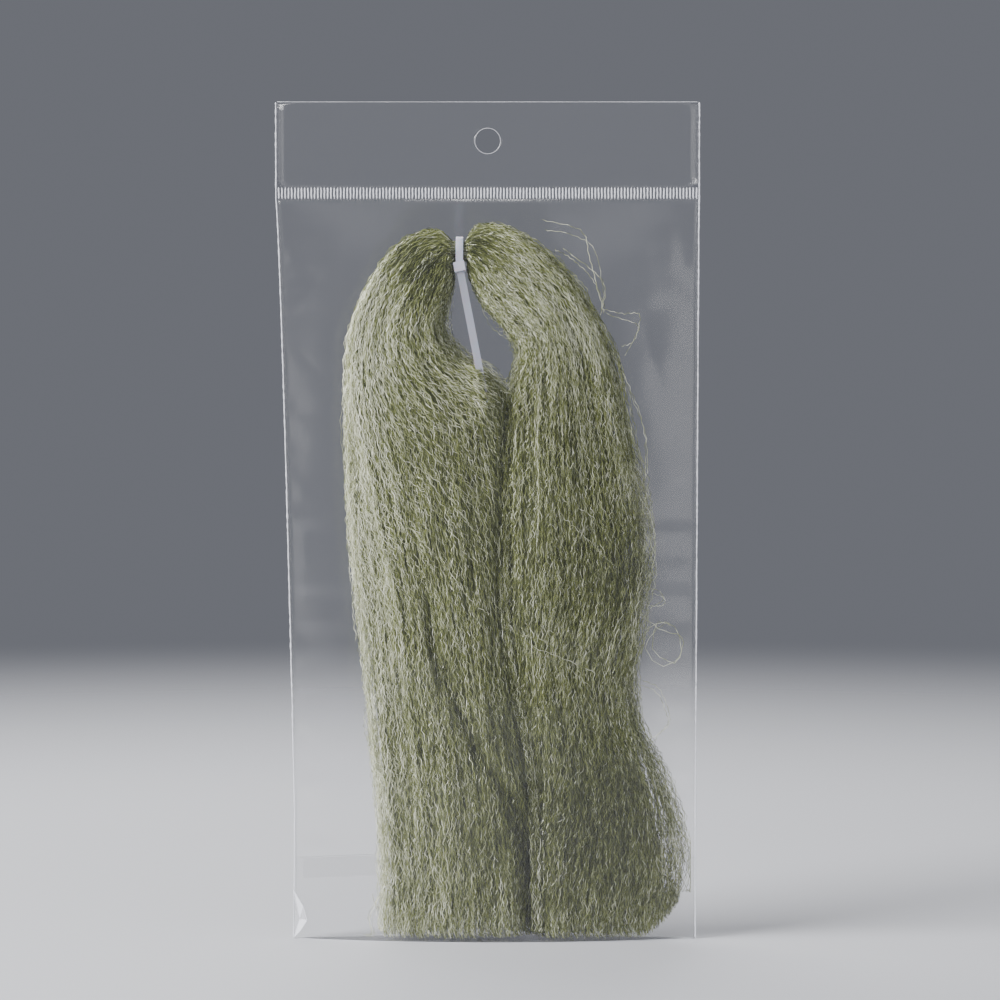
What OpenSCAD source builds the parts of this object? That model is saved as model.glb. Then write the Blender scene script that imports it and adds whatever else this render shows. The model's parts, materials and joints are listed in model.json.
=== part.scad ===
// Hang bag of crimped fly-tying fibre.
// A hank of long synthetic fibre is folded in half over a small cable tie, and its two halves
// hang down inside a clear film bag. The bag has a ribbed weld under a header with a hang hole,
// cut-weld side seams, and a closing flap that is folded up on the back of its bottom edge.
// X runs across the bag, the front faces -Y, and the bag stands on its bottom crease at z = 0.

/* [Bag] */
// Flat width of the bag over its side welds
bag_w = 100; // [84:1:125]
// Height of the bag from its bottom crease to its top edge
bag_h = 197.6; // [165:0.1:240]
// Greatest depth of the filled pouch, front to back
pouch_d = 18; // [16:0.5:24]
// Depth of the flattened bottom that the bag stands on
base_d = 14; // [12:0.5:18]
// Thickness of the film
film_t = 0.06; // [0.04:0.01:0.12]
// How far filling the pouch draws in its left edge
draw_in_left = 4.1; // [0:0.1:6]
// How far filling the pouch draws in its right edge
draw_in_right = 0.6; // [0:0.1:6]
// Width of the bead that the cut weld leaves along each side
weld_w = 0.6; // [0.4:0.1:1]
// Thickness of that bead
weld_t = 0.3; // [0.2:0.05:0.5]

/* [Header] */
// Height of the flat header above the ribbed weld
header_h = 20; // [14:0.5:30]
// Height of the ribbed weld
seal_h = 2.9; // [2:0.1:5]
// Distance from one rib of the weld to the next
rib_pitch = 0.767; // [0.6:0.001:1.5]
// Width of a rib
rib_w = 0.38; // [0.2:0.01:0.5]
// Height of a rib above the welded film
rib_t = 0.05; // [0.03:0.01:0.1]
// Diameter of the hang hole
hole_d = 6; // [5:0.1:8]
// Distance from the top edge down to the middle of the hang hole
hole_drop = 9.2; // [6:0.1:10]

/* [Closing flap] */
// Height of the flap on the back
flap_h = 19.3; // [12:0.1:30]
// Gap between the flap and the back of the pouch
flap_gap = 0.2; // [0.15:0.01:0.4]
// Height of the adhesive strip along the flap's free edge
adhesive_h = 5.1; // [3:0.1:8]
// Thickness of the adhesive strip
adhesive_t = 0.08; // [0.04:0.01:0.1]
// Distance from the ends of the adhesive strip to the flap's ends
adhesive_inset = 1.5; // [0.5:0.1:5]

/* [Tucked corner] */
// Width of the corner of film that is folded over at the bottom left
tuck_w = 3.6; // [2:0.1:6]
// Height of that corner
tuck_h = 11.6; // [6:0.1:16]
// Thickness of the folded corner
tuck_t = 0.18; // [0.1:0.01:0.3]
// Gap between the folded corner and the side weld
tuck_gap = 0.1; // [0.1:0.05:0.3]

/* [Cable tie] */
// Width of the strap
strap_w = 1.75; // [1.6:0.05:2.2]
// Thickness of the strap
strap_t = 0.9; // [0.8:0.05:1]
// Length of the strap from the head to its free tip
tail_l = 34; // [20:0.5:40]
// Distance from one tooth of the strap to the next
tooth_pitch = 0.8; // [0.6:0.05:1]
// Depth of the teeth
tooth_d = 0.15; // [0.08:0.01:0.18]
// Height of the head along the strap
head_h = 2.3; // [2.2:0.1:3]
// Wall of the head around the slot
head_wall = 0.4; // [0.35:0.05:0.6]
// Room behind the strap for the pawl
pawl_room = 0.95; // [0.9:0.05:1.1]
// Clearance of the strap in the slot, on each side
slot_clear = 0.05; // [0.04:0.01:0.1]
// Lean of the head and tail to the right
tail_lean = 11; // [0:1:20]
// Lean of the tail out of the hank, towards the front
tail_rise = 5; // [3:0.5:6]

/* [Hank] */
// Radius of the hank where the tie gathers it
neck_r = 2.5; // [2.2:0.1:3.2]
// Distance of the tie to the left of the bag's middle
tie_left = 6.6; // [0:0.1:10]
// Distance from the ribbed weld down to the middle of the neck
neck_drop = 12.2; // [11.4:0.1:16]
// Gap between neighbouring locks
lock_gap = 0.4; // [0.3:0.05:1]
// Gap between the hank and the film
film_clear = 0.5; // [0.3:0.05:1]
// How far the hank can slip up inside the bag
hank_play = 2; // [0:0.5:3]
// How far the left lock can swing out, in degrees
lock_swing = 2.5; // [0:0.5:3]

/* [Hidden] */

// Colours
film_colour = [0.80, 0.84, 0.90, 0.35];
weld_colour = [0.92, 0.94, 0.98, 0.80];
adhesive_colour = [0.80, 0.82, 0.80, 0.50];
nylon_colour = [0.88, 0.87, 0.82];
fibre_colour = [0.52, 0.53, 0.30];
fibre_shade_colour = [0.44, 0.45, 0.24];

// Heights up the bag
seal_z = bag_h - header_h - seal_h;
band_z = bag_h - header_h;
hole_z = bag_h - hole_drop;
neck_z = seal_z - neck_drop;
tie_x = -tie_left;

// Inner width of the header between its side welds
header_w = bag_w - 2 * weld_w;

// The pouch opens over this height below the ribbed weld, and settles over this height above
// its base.
mouth_len = 10;
base_len = 12;
// Grid of the film panels: columns across and rows up
cols = 20;
rows = 36;

// Half depth of the pouch at its middle, at height z.
function belly(z) =
  let (top = 1 - exp(-max(0, seal_z - z) / mouth_len))
  let (foot = 1 - (1 - base_d / pouch_d) * exp(-z / base_len))
  pouch_d / 2 * top * foot;

// Share of a side's draw-in at height z: none at the weld, all of it low down, and a little less
// where the bottom crease holds the side straight.
function draw_share(z) =
  let (down = min(1, max(0, seal_z - z) / (0.83 * seal_z)))
  pow(down, 0.75) - 0.1 * exp(-z / base_len);

// Outer and inner edges of the side welds at height z.
function left_edge(z) = -bag_w / 2 + (z < seal_z ? draw_in_left * draw_share(z) : 0);
function right_edge(z) = bag_w / 2 - (z < seal_z ? draw_in_right * draw_share(z) : 0);
function left_in(z) = left_edge(z) + weld_w;
function right_in(z) = right_edge(z) - weld_w;

// Place across the pouch at height z, for u from -1 at the left weld to 1 at the right weld.
function across(u, z) = left_in(z) + (u + 1) / 2 * (right_in(z) - left_in(z));
function share_across(x, z) = 2 * (x - left_in(z)) / (right_in(z) - left_in(z)) - 1;

// Half depth of the inside of the pouch at a place on its face: a parabola between the welds.
function pouch_half(x, z) =
  let (u = max(-1, min(1, share_across(x, z))))
  belly(z) * (1 - u * u);

// Heights of the rows of a panel, closer together near both ends.
function row_z(i, n, z0, z1) = z0 + (z1 - z0) * (1 - cos(180 * i / n)) / 2;

// A thin closed panel that follows the pouch, on one side of it (-1 front, 1 back). It starts
// off mm outside the pouch's inner face and is t thick.
module pouch_panel(side, z0, z1, n, off, t, inset = 0) {
  reach = 1 - 2 * inset / (bag_w - draw_in_left - draw_in_right);
  us = [for (j = [0:cols]) reach * (2 * j / cols - 1)];
  zs = [for (i = [0:n]) row_z(i, n, z0, z1)];
  function at(u, z, o) =
    let (x = across(u, z))
    [x, side * (pouch_half(x, z) + o), z];
  inner = [for (z = zs) for (u = us) at(u, z, off)];
  outer = [for (z = zs) for (u = us) at(u, z, off + t)];
  w = cols + 1;
  last = (n + 1) * w;
  a = side > 0 ? 0 : last;
  b = side > 0 ? last : 0;
  // a is the sheet nearer the front, b the sheet nearer the back, both in rows of w points.
  front_faces = [for (i = [0:n - 1]) for (j = [0:cols - 1])
    each split(a + i * w + j, a + i * w + j + 1, a + (i + 1) * w + j + 1, a + (i + 1) * w + j)];
  back_faces = [for (i = [0:n - 1]) for (j = [0:cols - 1])
    each split(b + i * w + j, b + (i + 1) * w + j, b + (i + 1) * w + j + 1, b + i * w + j + 1)];
  foot = [for (j = [0:cols - 1]) each split(a + j, b + j, b + j + 1, a + j + 1)];
  top = [for (j = [0:cols - 1])
    each split(a + n * w + j, a + n * w + j + 1, b + n * w + j + 1, b + n * w + j)];
  left = [for (i = [0:n - 1])
    each split(a + i * w, a + (i + 1) * w, b + (i + 1) * w, b + i * w)];
  right = [for (i = [0:n - 1])
    each split(a + i * w + cols, b + i * w + cols, b + (i + 1) * w + cols, a + (i + 1) * w + cols)];
  polyhedron(concat(inner, outer),
    outward(concat(front_faces, back_faces, foot, top, left, right)));
}

// Two triangles in place of a four-sided face.
function split(p, q, r, s) = [[p, q, r], [p, r, s]];

// Faces are listed anticlockwise seen from outside, and a polyhedron wants them clockwise.
function outward(faces) = [for (f = faces) [f[2], f[1], f[0]]];

module header_layer(side) {
  difference() {
    translate([-header_w / 2, side > 0 ? 0 : -film_t, band_z])
      cube([header_w, film_t, header_h]);
    translate([0, 0, hole_z])
      rotate([90, 0, 0])
        cylinder(d = hole_d, h = 4 * film_t, center = true, $fn = 64);
  }
}

module header_front_layer() {
  color(film_colour) header_layer(-1);
}

module header_back_layer() {
  color(film_colour) header_layer(1);
}

// The weld is one strip of fused film with upright ribs on both faces.
module header_seal_ribs() {
  count = floor((header_w - rib_w) / rib_pitch) + 1;
  start = -(count - 1) * rib_pitch / 2;
  rise = film_t + rib_t;
  function comb(side) = [for (i = [0:count - 1])
    let (x = start + i * rib_pitch)
    each [
      [x - rib_w / 2, side * film_t],
      [x - rib_w / 2, side * rise],
      [x + rib_w / 2, side * rise],
      [x + rib_w / 2, side * film_t],
    ]];
  back = comb(1);
  front = comb(-1);
  ends = header_w / 2;
  outline = concat(
    [[-ends, -film_t]], front, [[ends, -film_t], [ends, film_t]],
    [for (i = [len(back) - 1:-1:0]) back[i]], [[-ends, film_t]]);
  color(weld_colour)
    translate([0, 0, seal_z])
      linear_extrude(seal_h)
        polygon(outline);
}

module front_film() {
  color(film_colour) pouch_panel(-1, film_t, seal_z, rows, 0, film_t);
}

module back_film() {
  color(film_colour) pouch_panel(1, film_t, seal_z, rows, 0, film_t);
}

// A square bead along one side of the bag: side is -1 on the left and 1 on the right.
module side_weld(side) {
  zs = concat([0], [for (i = [0:rows]) row_z(i, rows, film_t, seal_z)], [bag_h]);
  function x_out(z) = side < 0 ? left_edge(z) : right_edge(z);
  ring = [for (z = zs)
    let (x = x_out(z))
    let (x_in = x - side * weld_w)
    let (x0 = min(x, x_in))
    let (x1 = max(x, x_in))
    each [
      [x0, -weld_t / 2, z], [x1, -weld_t / 2, z],
      [x1, weld_t / 2, z], [x0, weld_t / 2, z],
    ]];
  tube(ring, len(zs), 4);
}

module left_side_weld() {
  color(weld_colour) side_weld(-1);
}

module right_side_weld() {
  color(weld_colour) side_weld(1);
}

// A closed tube through n rings of k points, where each ring turns anticlockwise seen from
// further along the tube.
module tube(points, n, k) {
  walls = [for (i = [0:n - 2]) for (j = [0:k - 1])
    let (m = (j + 1) % k)
    each split(i * k + j, i * k + m, (i + 1) * k + m, (i + 1) * k + j)];
  foot = [for (j = [1:k - 2]) [0, j + 1, j]];
  top = [for (j = [1:k - 2]) [(n - 1) * k, (n - 1) * k + j, (n - 1) * k + j + 1]];
  polyhedron(points, outward(concat(walls, foot, top)));
}

// The flattened strip of film across the mouth, which the bag stands on.
module bottom_fold() {
  us = [for (j = [0:cols]) 2 * j / cols - 1];
  function rim(u, side) =
    let (x = across(u, 0))
    [x, side * (pouch_half(x, 0) + film_t)];
  color(film_colour)
    linear_extrude(film_t)
      polygon(concat(
        [for (j = [0:cols]) rim(us[j], -1)],
        [for (j = [cols:-1:0]) rim(us[j], 1)]));
}

// The corner of film that is folded over at the bottom left, lying on the front of the pouch.
module corner_tuck() {
  // Enough to clear the bulge of the film between the corner's edges.
  lift = 1.5 * film_t + belly(tuck_h) * pow(tuck_w / bag_w, 2);
  rise = tuck_w / 4;
  corner = [left_in(0) + tuck_gap, film_t];
  top = [left_in(tuck_h) + tuck_gap, tuck_h];
  apex = [left_in(0) + tuck_w, 0.4 * tuck_h];
  function low(p) = [p[0], -pouch_half(p[0], p[1]) - lift, p[1]];
  function high(p, out) = [p[0], -pouch_half(p[0], p[1]) - lift - out, p[1]];
  points = [
    low(corner), low(apex), low(top),
    high(corner, tuck_t), high(apex, tuck_t + rise), high(top, tuck_t),
  ];
  faces = [
    [2, 1, 0], [3, 4, 5],
    [0, 1, 4], [0, 4, 3],
    [1, 2, 5], [1, 5, 4],
    [2, 0, 3], [2, 3, 5],
  ];
  color(weld_colour)
    polyhedron(points, outward(faces));
}

module closing_flap() {
  color(film_colour)
    pouch_panel(1, film_t, flap_h, 6, film_t + flap_gap, film_t);
}

module adhesive_strip() {
  color(adhesive_colour)
    pouch_panel(1, flap_h - adhesive_h, flap_h, 2, film_t + flap_gap - adhesive_t,
      adhesive_t, adhesive_inset);
}

// The tie's own frame: its origin is the middle of the slot in the head, the strap goes down it
// along -Z with its smooth face to the front, and the pawl is behind the strap.
loop_r = neck_r + slot_clear;
head_w = strap_w + 2 * slot_clear + 2 * head_wall;
slot_y0 = -strap_t / 2 - slot_clear;
slot_y1 = strap_t / 2 + slot_clear;
chamber_y1 = slot_y1 + pawl_room;
chamber_z1 = head_h / 2 - head_wall;
head_y0 = slot_y0 - head_wall;
head_y1 = chamber_y1 + head_wall;
// The head hangs just low enough for its back upper edge to clear the neck.
head_clear = 0.2;
strap_y = -loop_r - strap_t / 2;
head_drop = head_h / 2 + sqrt(pow(neck_r + head_clear, 2) - pow(strap_y + head_y1, 2));
// The pawl turns on a knuckle at the top of its chamber, and its tip reaches the strap's teeth.
pawl_t = 0.42;
pawl_w = strap_w - 2 * slot_clear;
pawl_hinge_y = slot_y1 + pawl_t;
pawl_hinge_z = chamber_z1 - pawl_t / 2 - slot_clear;

module in_tie_frame() {
  translate([tie_x, strap_y, neck_z - head_drop])
    rotate([-tail_rise, -tail_lean, 0])
      children();
}

module head_envelope() {
  translate([-head_w / 2, head_y0, -head_h / 2])
    cube([head_w, head_y1 - head_y0, head_h]);
}

module tie_head() {
  color(nylon_colour)
    in_tie_frame()
      difference() {
        head_envelope();
        translate([-strap_w / 2 - slot_clear, slot_y0, -head_h])
          cube([strap_w + 2 * slot_clear, slot_y1 - slot_y0, 2 * head_h]);
        translate([-strap_w / 2 - slot_clear, 0, -head_h])
          cube([strap_w + 2 * slot_clear, chamber_y1, head_h + chamber_z1]);
      }
}

// Teeth along the back of the strap and the front of the pawl: how far the surface stands back
// from the strap's back face at height z.
function tooth_dip(z) =
  let (turn = z / tooth_pitch - floor(z / tooth_pitch))
  tooth_d * (1 - abs(2 * turn - 1));

module tie_pawl() {
  face_y = slot_y1;
  tip_z = -head_h / 2 + 0.2;
  tip_y = face_y + 0.1;
  top_z = pawl_hinge_z - pawl_t;
  // One point at each tooth's crest and root, between the knuckle and the tip.
  half = tooth_pitch / 2;
  face = [for (k = [floor(top_z / half):-1:ceil(tip_z / half)])
    [face_y - tooth_dip(k * half), k * half]];
  outline = concat(
    [[pawl_hinge_y + pawl_t / 2, pawl_hinge_z], [pawl_hinge_y - pawl_t / 2, pawl_hinge_z]],
    face,
    [[tip_y, tip_z], [tip_y + pawl_t / 2, tip_z]]);
  color(nylon_colour)
    in_tie_frame()
      translate([-pawl_w / 2, 0, 0])
        rotate([90, 0, 90])
          linear_extrude(pawl_w)
            union() {
              translate([pawl_hinge_y, pawl_hinge_z])
                circle(r = pawl_t / 2, $fn = 24);
              polygon(outline);
            }
}

// The strap goes once round the neck from the back of the head, and comes straight down the
// front into the top of the head. Angles run from the bottom of the neck, towards the back, and
// the round part ends just past the front, inside the straight part.
module tie_loop() {
  root_angle = -36;
  front_angle = 271;
  color(nylon_colour)
    difference() {
      union() {
        translate([tie_x, 0, neck_z])
          rotate([0, 90, 0])
            rotate([0, 0, root_angle])
              rotate_extrude(angle = front_angle - root_angle, $fn = 96)
                translate([loop_r, -strap_w / 2])
                  square([strap_t, strap_w]);
        translate([tie_x - strap_w / 2, strap_y - strap_t / 2, neck_z - head_drop])
          cube([strap_w, strap_t, head_drop]);
      }
      in_tie_frame() head_envelope();
    }
}

module tie_tail() {
  top_z = head_h / 2;
  end_z = top_z - tail_l;
  tip_len = 2 * strap_w;
  half = tooth_pitch / 2;
  back = [for (k = [ceil((end_z + tip_len) / half):ceil(top_z / half) - 1])
    [strap_t / 2 - tooth_dip(k * half), k * half]];
  color(nylon_colour)
    in_tie_frame()
      intersection() {
        translate([-strap_w / 2, 0, 0])
          rotate([90, 0, 90])
            linear_extrude(strap_w)
              polygon(concat(
                [[-strap_t / 2, top_z], [-strap_t / 2, end_z], [0, end_z]],
                back,
                [[strap_t / 2 - tooth_dip(top_z), top_z]]));
        // The tip narrows to half the strap's width.
        rotate([90, 0, 0])
          linear_extrude(2 * strap_t, center = true)
            polygon([
              [-strap_w / 2, top_z], [-strap_w / 2, end_z + tip_len],
              [-strap_w / 4, end_z], [strap_w / 4, end_z],
              [strap_w / 2, end_z + tip_len], [strap_w / 2, top_z],
            ]);
      }
}

neck_half_l = strap_w / 2 + 0.4;

module hank_neck() {
  color(fibre_shade_colour)
    translate([tie_x, 0, neck_z])
      rotate([0, 90, 0])
        cylinder(r = neck_r, h = 2 * neck_half_l, center = true, $fn = 64);
}

// The locks are drawn for a bag 100 wide with a pouch 174.7 high, and take up the bag's own
// width and height.
drawn_w = 100;
drawn_pouch_h = 174.7;
lock_steps = 3;
lock_sides = 16;

// A station across a lock: [outer edge x, z, inner edge x, z, half depth].
function fitted(s) =
  let (kx = bag_w / drawn_w)
  let (kz = seal_z / drawn_pouch_h)
  [s[0] * kx, s[1] * kz, s[2] * kx, s[3] * kz, s[4]];

// The station where a lock leaves the neck, on the side given by dir.
function neck_station(dir) =
  let (x = tie_x + dir * (neck_half_l + lock_gap))
  [x, neck_z + neck_r, x, neck_z - neck_r, neck_r];

// A smooth curve through p1 and p2 that leaves each in line with its other neighbour.
function smooth(p0, p1, p2, p3, t) =
  0.5 * (2 * p1 + (p2 - p0) * t + (2 * p0 - 5 * p1 + 4 * p2 - p3) * t * t
    + (3 * p1 - p0 - 3 * p2 + p3) * t * t * t);

function stations(list) = [
  for (i = [0:len(list) - 2]) for (k = [0:lock_steps - 1])
    smooth(list[max(0, i - 1)], list[i], list[i + 1], list[min(len(list) - 1, i + 2)],
      k / lock_steps),
  list[len(list) - 1],
];

// Room for fibre in front of or behind the middle plane, at rest, slipped up and swung out.
function room(x, z, lean) =
  let (x_out = x - max(0, neck_z - z) * lean)
  let (tight = min(pouch_half(x, z), pouch_half(x, z + hank_play), pouch_half(x_out, z),
    pouch_half(x_out, z + hank_play)))
  max(0.15, tight - film_clear);

// A lock of fibre: an oval section carried along its stations, no deeper than the pouch allows.
// hand is 1 where a station's first edge is the left one, and -1 where it is the right one.
module lock(list, hand, lean = 0) {
  all = stations(list);
  points = [for (s = all) for (j = [0:lock_sides - 1])
    let (a = 360 * j / lock_sides)
    let (c = cos(a))
    let (x = (s[0] + s[2]) / 2 + (s[2] - s[0]) / 2 * c)
    let (z = (s[1] + s[3]) / 2 + (s[3] - s[1]) / 2 * c)
    let (depth = min(s[4], room(x, z, lean)))
    [x, -hand * depth * sin(a), z]];
  tube(points, len(all), lock_sides);
}

// Where the left lock divides: x and z down the crease between its outer and inner parts.
left_crease = [
  [-13.0, 147], [-15.5, 138], [-16.0, 126], [-15.0, 110], [-14.2, 94],
  [-13.4, 78], [-10.5, 64], [-4.0, 49], [2.5, 38], [6.0, 27], [7.6, 14], [8.0, 2],
];
// Where the left and right locks meet, down from the hollow under the tie.
middle_crease = [
  [4.8, 124], [3.7, 108], [3.6, 92], [4.1, 76], [6.4, 61], [9.8, 44], [11.0, 29],
  [11.4, 15], [11.6, 2],
];

module left_lock() {
  half_gap = lock_gap / 2;
  function beside(i, x, z, d) = [x, z, left_crease[i][0] - half_gap, left_crease[i][1], d];
  drawn = [
    [-11.5, 167.6, -9.3, 157.6, 3.8],
    [-18.0, 166.8, -9.4, 154.5, 4.6],
    [-25.0, 161.2, -10.4, 150.8, 5.4],
    beside(0, -30.6, 152, 6),
    beside(1, -33.6, 141, 6.5),
    beside(2, -34.3, 125, 6.5),
    beside(3, -33.8, 108, 6.5),
    beside(4, -32.8, 92, 6.5),
    beside(5, -31.6, 75, 6.5),
    beside(6, -30.3, 60, 6.5),
    beside(7, -28.8, 46, 6.5),
    beside(8, -27.4, 34, 6.5),
    beside(9, -26.4, 23, 6.2),
    beside(10, -26.0, 12, 6),
    beside(11, -26.4, 2, 6),
  ];
  color(fibre_colour)
    lock(concat([neck_station(-1)], [for (s = drawn) fitted(s)]), 1, tan(lock_swing));
}

module left_inner_lock() {
  half_gap = lock_gap / 2;
  function between(i, x, z, d) = [left_crease[i][0] + half_gap, left_crease[i][1], x, z, d];
  function beside(i, k, d) =
    between(i, middle_crease[k][0] - half_gap, middle_crease[k][1], d);
  drawn = [
    between(0, -11.0, 145, 1),
    between(1, -7.0, 138, 3.5),
    between(2, 1.5, 131, 5),
    beside(3, 0, 5.5),
    beside(4, 1, 6),
    beside(5, 2, 6),
    beside(6, 3, 6),
    beside(7, 4, 6),
    beside(8, 5, 4),
    beside(9, 6, 2.5),
    beside(10, 7, 2),
    beside(11, 8, 1.6),
  ];
  color(fibre_shade_colour)
    lock([for (s = drawn) fitted(s)], 1, tan(lock_swing));
}

module right_lock() {
  half_gap = lock_gap / 2;
  function beside(k, x, z, d) = [x, z, middle_crease[k][0] + half_gap, middle_crease[k][1], d];
  drawn = [
    [-2.6, 168.5, -3.6, 156.5, 3.8],
    [3.5, 169.0, -2.4, 151.8, 4.6],
    [10.8, 165.3, 1.8, 146.2, 5.2],
    [18.6, 159.4, 6.4, 141.4, 5.8],
    [25.0, 150.4, 8.0, 137.2, 6],
    [29.8, 139.5, 7.4, 131.0, 6.5],
    beside(0, 33.6, 125, 6.5),
    beside(1, 36.8, 110, 6.5),
    beside(2, 37.0, 95, 6.5),
    beside(3, 33.6, 76, 6.5),
    beside(4, 31.4, 60, 6.5),
    beside(5, 32.6, 43, 6.2),
    beside(6, 35.2, 28, 6),
    beside(7, 36.4, 14, 6),
    beside(8, 36.0, 2, 6),
  ];
  color(fibre_colour)
    lock(concat([neck_station(1)], [for (s = drawn) fitted(s)]), -1);
}

module right_fringe() {
  drawn = [
    [37.6, 96, 38.6, 97, 0.6],
    [36.2, 84, 38.8, 85, 1.5],
    [34.0, 74, 37.2, 72, 2],
    [32.2, 58, 36.2, 57, 2.4],
    [33.4, 43, 40.8, 44, 2.6],
    [36.0, 28, 44.8, 30, 2.4],
    [37.2, 14, 45.8, 18, 2],
    [36.8, 2, 44.6, 9, 1.6],
  ];
  color(fibre_shade_colour) lock([for (s = drawn) fitted(s)], 1);
}

header_front_layer();
header_back_layer();
header_seal_ribs();
front_film();
back_film();
left_side_weld();
right_side_weld();
bottom_fold();
corner_tuck();
closing_flap();
adhesive_strip();
tie_head();
tie_pawl();
tie_loop();
tie_tail();
hank_neck();
left_lock();
left_inner_lock();
right_lock();
right_fringe();
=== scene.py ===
# %% [markdown]
# # A hank of fly-tying fibre in a clear hang bag
# This lesson dresses a CAD model in Blender. The object is a hank of crimped synthetic fibre, folded
# in half over a small cable tie, inside a clear film bag with a header and a hang hole. The CAD says
# where everything is. Blender gives the film its creases, the welds their uneven beads, and the hank
# its fibres. Every length below is in millimetres until the last step of each mesh, which is in metres.

# %% Load the frame
import json
import math

import bmesh
import bpy
import numpy as np
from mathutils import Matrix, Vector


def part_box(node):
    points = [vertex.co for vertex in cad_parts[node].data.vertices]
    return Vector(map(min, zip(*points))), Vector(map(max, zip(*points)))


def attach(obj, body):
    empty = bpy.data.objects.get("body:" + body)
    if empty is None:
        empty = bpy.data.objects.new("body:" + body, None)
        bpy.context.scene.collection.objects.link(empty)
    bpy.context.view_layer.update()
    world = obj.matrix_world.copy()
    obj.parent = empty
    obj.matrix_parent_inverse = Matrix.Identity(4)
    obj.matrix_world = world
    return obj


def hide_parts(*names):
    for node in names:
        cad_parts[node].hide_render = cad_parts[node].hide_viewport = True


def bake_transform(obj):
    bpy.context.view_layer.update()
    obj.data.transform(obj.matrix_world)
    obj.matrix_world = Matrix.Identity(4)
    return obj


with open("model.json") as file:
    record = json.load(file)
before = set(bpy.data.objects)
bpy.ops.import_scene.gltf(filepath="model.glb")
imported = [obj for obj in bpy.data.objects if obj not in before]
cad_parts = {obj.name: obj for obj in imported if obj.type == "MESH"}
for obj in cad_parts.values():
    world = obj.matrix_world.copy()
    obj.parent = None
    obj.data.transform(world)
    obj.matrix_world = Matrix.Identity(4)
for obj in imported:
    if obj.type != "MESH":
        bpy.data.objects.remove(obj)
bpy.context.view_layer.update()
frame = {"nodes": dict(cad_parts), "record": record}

MM = 0.001
rng = np.random.default_rng(41)


def box_mm(name):
    """Lowest and highest corners of a CAD node, in millimetres."""
    low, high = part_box(name)
    return np.array(low) / MM, np.array(high) / MM


# %% [markdown]
# ## Camera
# The bag is seen square on, from a little above its middle. A long lens far away keeps its sides
# almost parallel, as a product shot does. The lens is worked out from how wide a strip of the
# bag's plane the picture takes in: width of sensor times distance, over width of strip.

# %% Camera
VIEW_MIDDLE = (2.9, 0.0, 104.0)
VIEW_WIDTH = 235.8
VIEW_DISTANCE = 900.0
VIEW_ELEVATION = math.radians(2.5)

camera_data = bpy.data.cameras.new("camera")
camera = bpy.data.objects.new("camera", camera_data)
bpy.context.scene.collection.objects.link(camera)
camera.location = [
    MM * VIEW_MIDDLE[0],
    -MM * VIEW_DISTANCE * math.cos(VIEW_ELEVATION),
    MM * (VIEW_MIDDLE[2] + VIEW_DISTANCE * math.sin(VIEW_ELEVATION)),
]
camera.rotation_euler = (math.pi / 2 - VIEW_ELEVATION, 0, 0)
camera_data.lens = camera_data.sensor_width * VIEW_DISTANCE / VIEW_WIDTH
camera_data.clip_start = 0.01
camera_data.clip_end = 20
bpy.context.scene.camera = camera
print("lens:", round(camera_data.lens, 1), "mm")

# %% [markdown]
# ## Small tools
# Colours are written as sRGB hex values, as a designer would pick them, and one function turns them
# to the linear values that Blender's shaders want. One function adds a shader node with its settings
# and links. One function puts whole numpy arrays of points and faces into a mesh, and one says what
# the finished piece is to the frame.

# %% Colour, node and mesh tools
def colour(code, alpha=1.0):
    """Linear RGBA of a hex colour. Each channel c is c/12.92 below 0.04045, and else
    ((c + 0.055)/1.055) to the power 2.4."""
    channels = [int(code[i : i + 2], 16) / 255 for i in (1, 3, 5)]
    linear = [c / 12.92 if c <= 0.04045 else ((c + 0.055) / 1.055) ** 2.4 for c in channels]
    return (*linear, alpha)


def add_node(tree, kind, settings=None, inputs=None):
    """Adds a node. settings are its own options. inputs are values, or sockets to link from, by the
    input's name or number."""
    made = tree.nodes.new(kind)
    for name, value in (settings or {}).items():
        setattr(made, name, value)
    for name, value in (inputs or {}).items():
        if isinstance(value, bpy.types.NodeSocket):
            tree.links.new(value, made.inputs[name])
        else:
            made.inputs[name].default_value = value
    return made


def new_material(name):
    """An empty material's tree and its output node."""
    material = bpy.data.materials.new(name)
    material.use_nodes = True
    material.node_tree.nodes.clear()
    output = material.node_tree.nodes.new("ShaderNodeOutputMaterial")
    return material, material.node_tree, output


def link_piece(name, mesh):
    """An object with this mesh in the scene, at the origin."""
    piece = bpy.data.objects.new(name, mesh)
    bpy.context.scene.collection.objects.link(piece)
    return piece


def mesh_piece(name, points, quads, material, triangles=(), smooth=True):
    """An object at the origin from points in mm and arrays of four-sided and three-sided faces."""
    quads = np.asarray(quads, np.int32).reshape(-1, 4)
    triangles = np.asarray(triangles, np.int32).reshape(-1, 3)
    mesh = bpy.data.meshes.new(name)
    points = np.asarray(points, np.float32).reshape(-1, 3) * MM
    mesh.vertices.add(len(points))
    mesh.vertices.foreach_set("co", points.ravel())
    corners = np.concatenate([quads.ravel(), triangles.ravel()])
    mesh.loops.add(len(corners))
    mesh.loops.foreach_set("vertex_index", corners)
    sizes = np.concatenate([np.full(len(quads), 4), np.full(len(triangles), 3)])
    mesh.polygons.add(len(sizes))
    mesh.polygons.foreach_set("loop_start", (np.cumsum(sizes) - sizes).astype(np.int32))
    mesh.polygons.foreach_set("use_smooth", np.full(len(sizes), smooth))
    mesh.update(calc_edges=True)
    mesh.validate()
    mesh.materials.append(material)
    return link_piece(name, mesh)


def belongs(piece, body, slot, *nodes):
    """Says what a piece is to the frame: the body that it rides on, and the CAD nodes that it stands for.
    slot, the slot of its material, is not used."""
    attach(piece, body)
    if nodes:
        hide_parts(*nodes)
    return piece


def places(x, y, z):
    """Points from x, y and z, each a number or an array, spread to the same grid."""
    return np.stack(np.broadcast_arrays(x, y, z), axis=-1)


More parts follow.
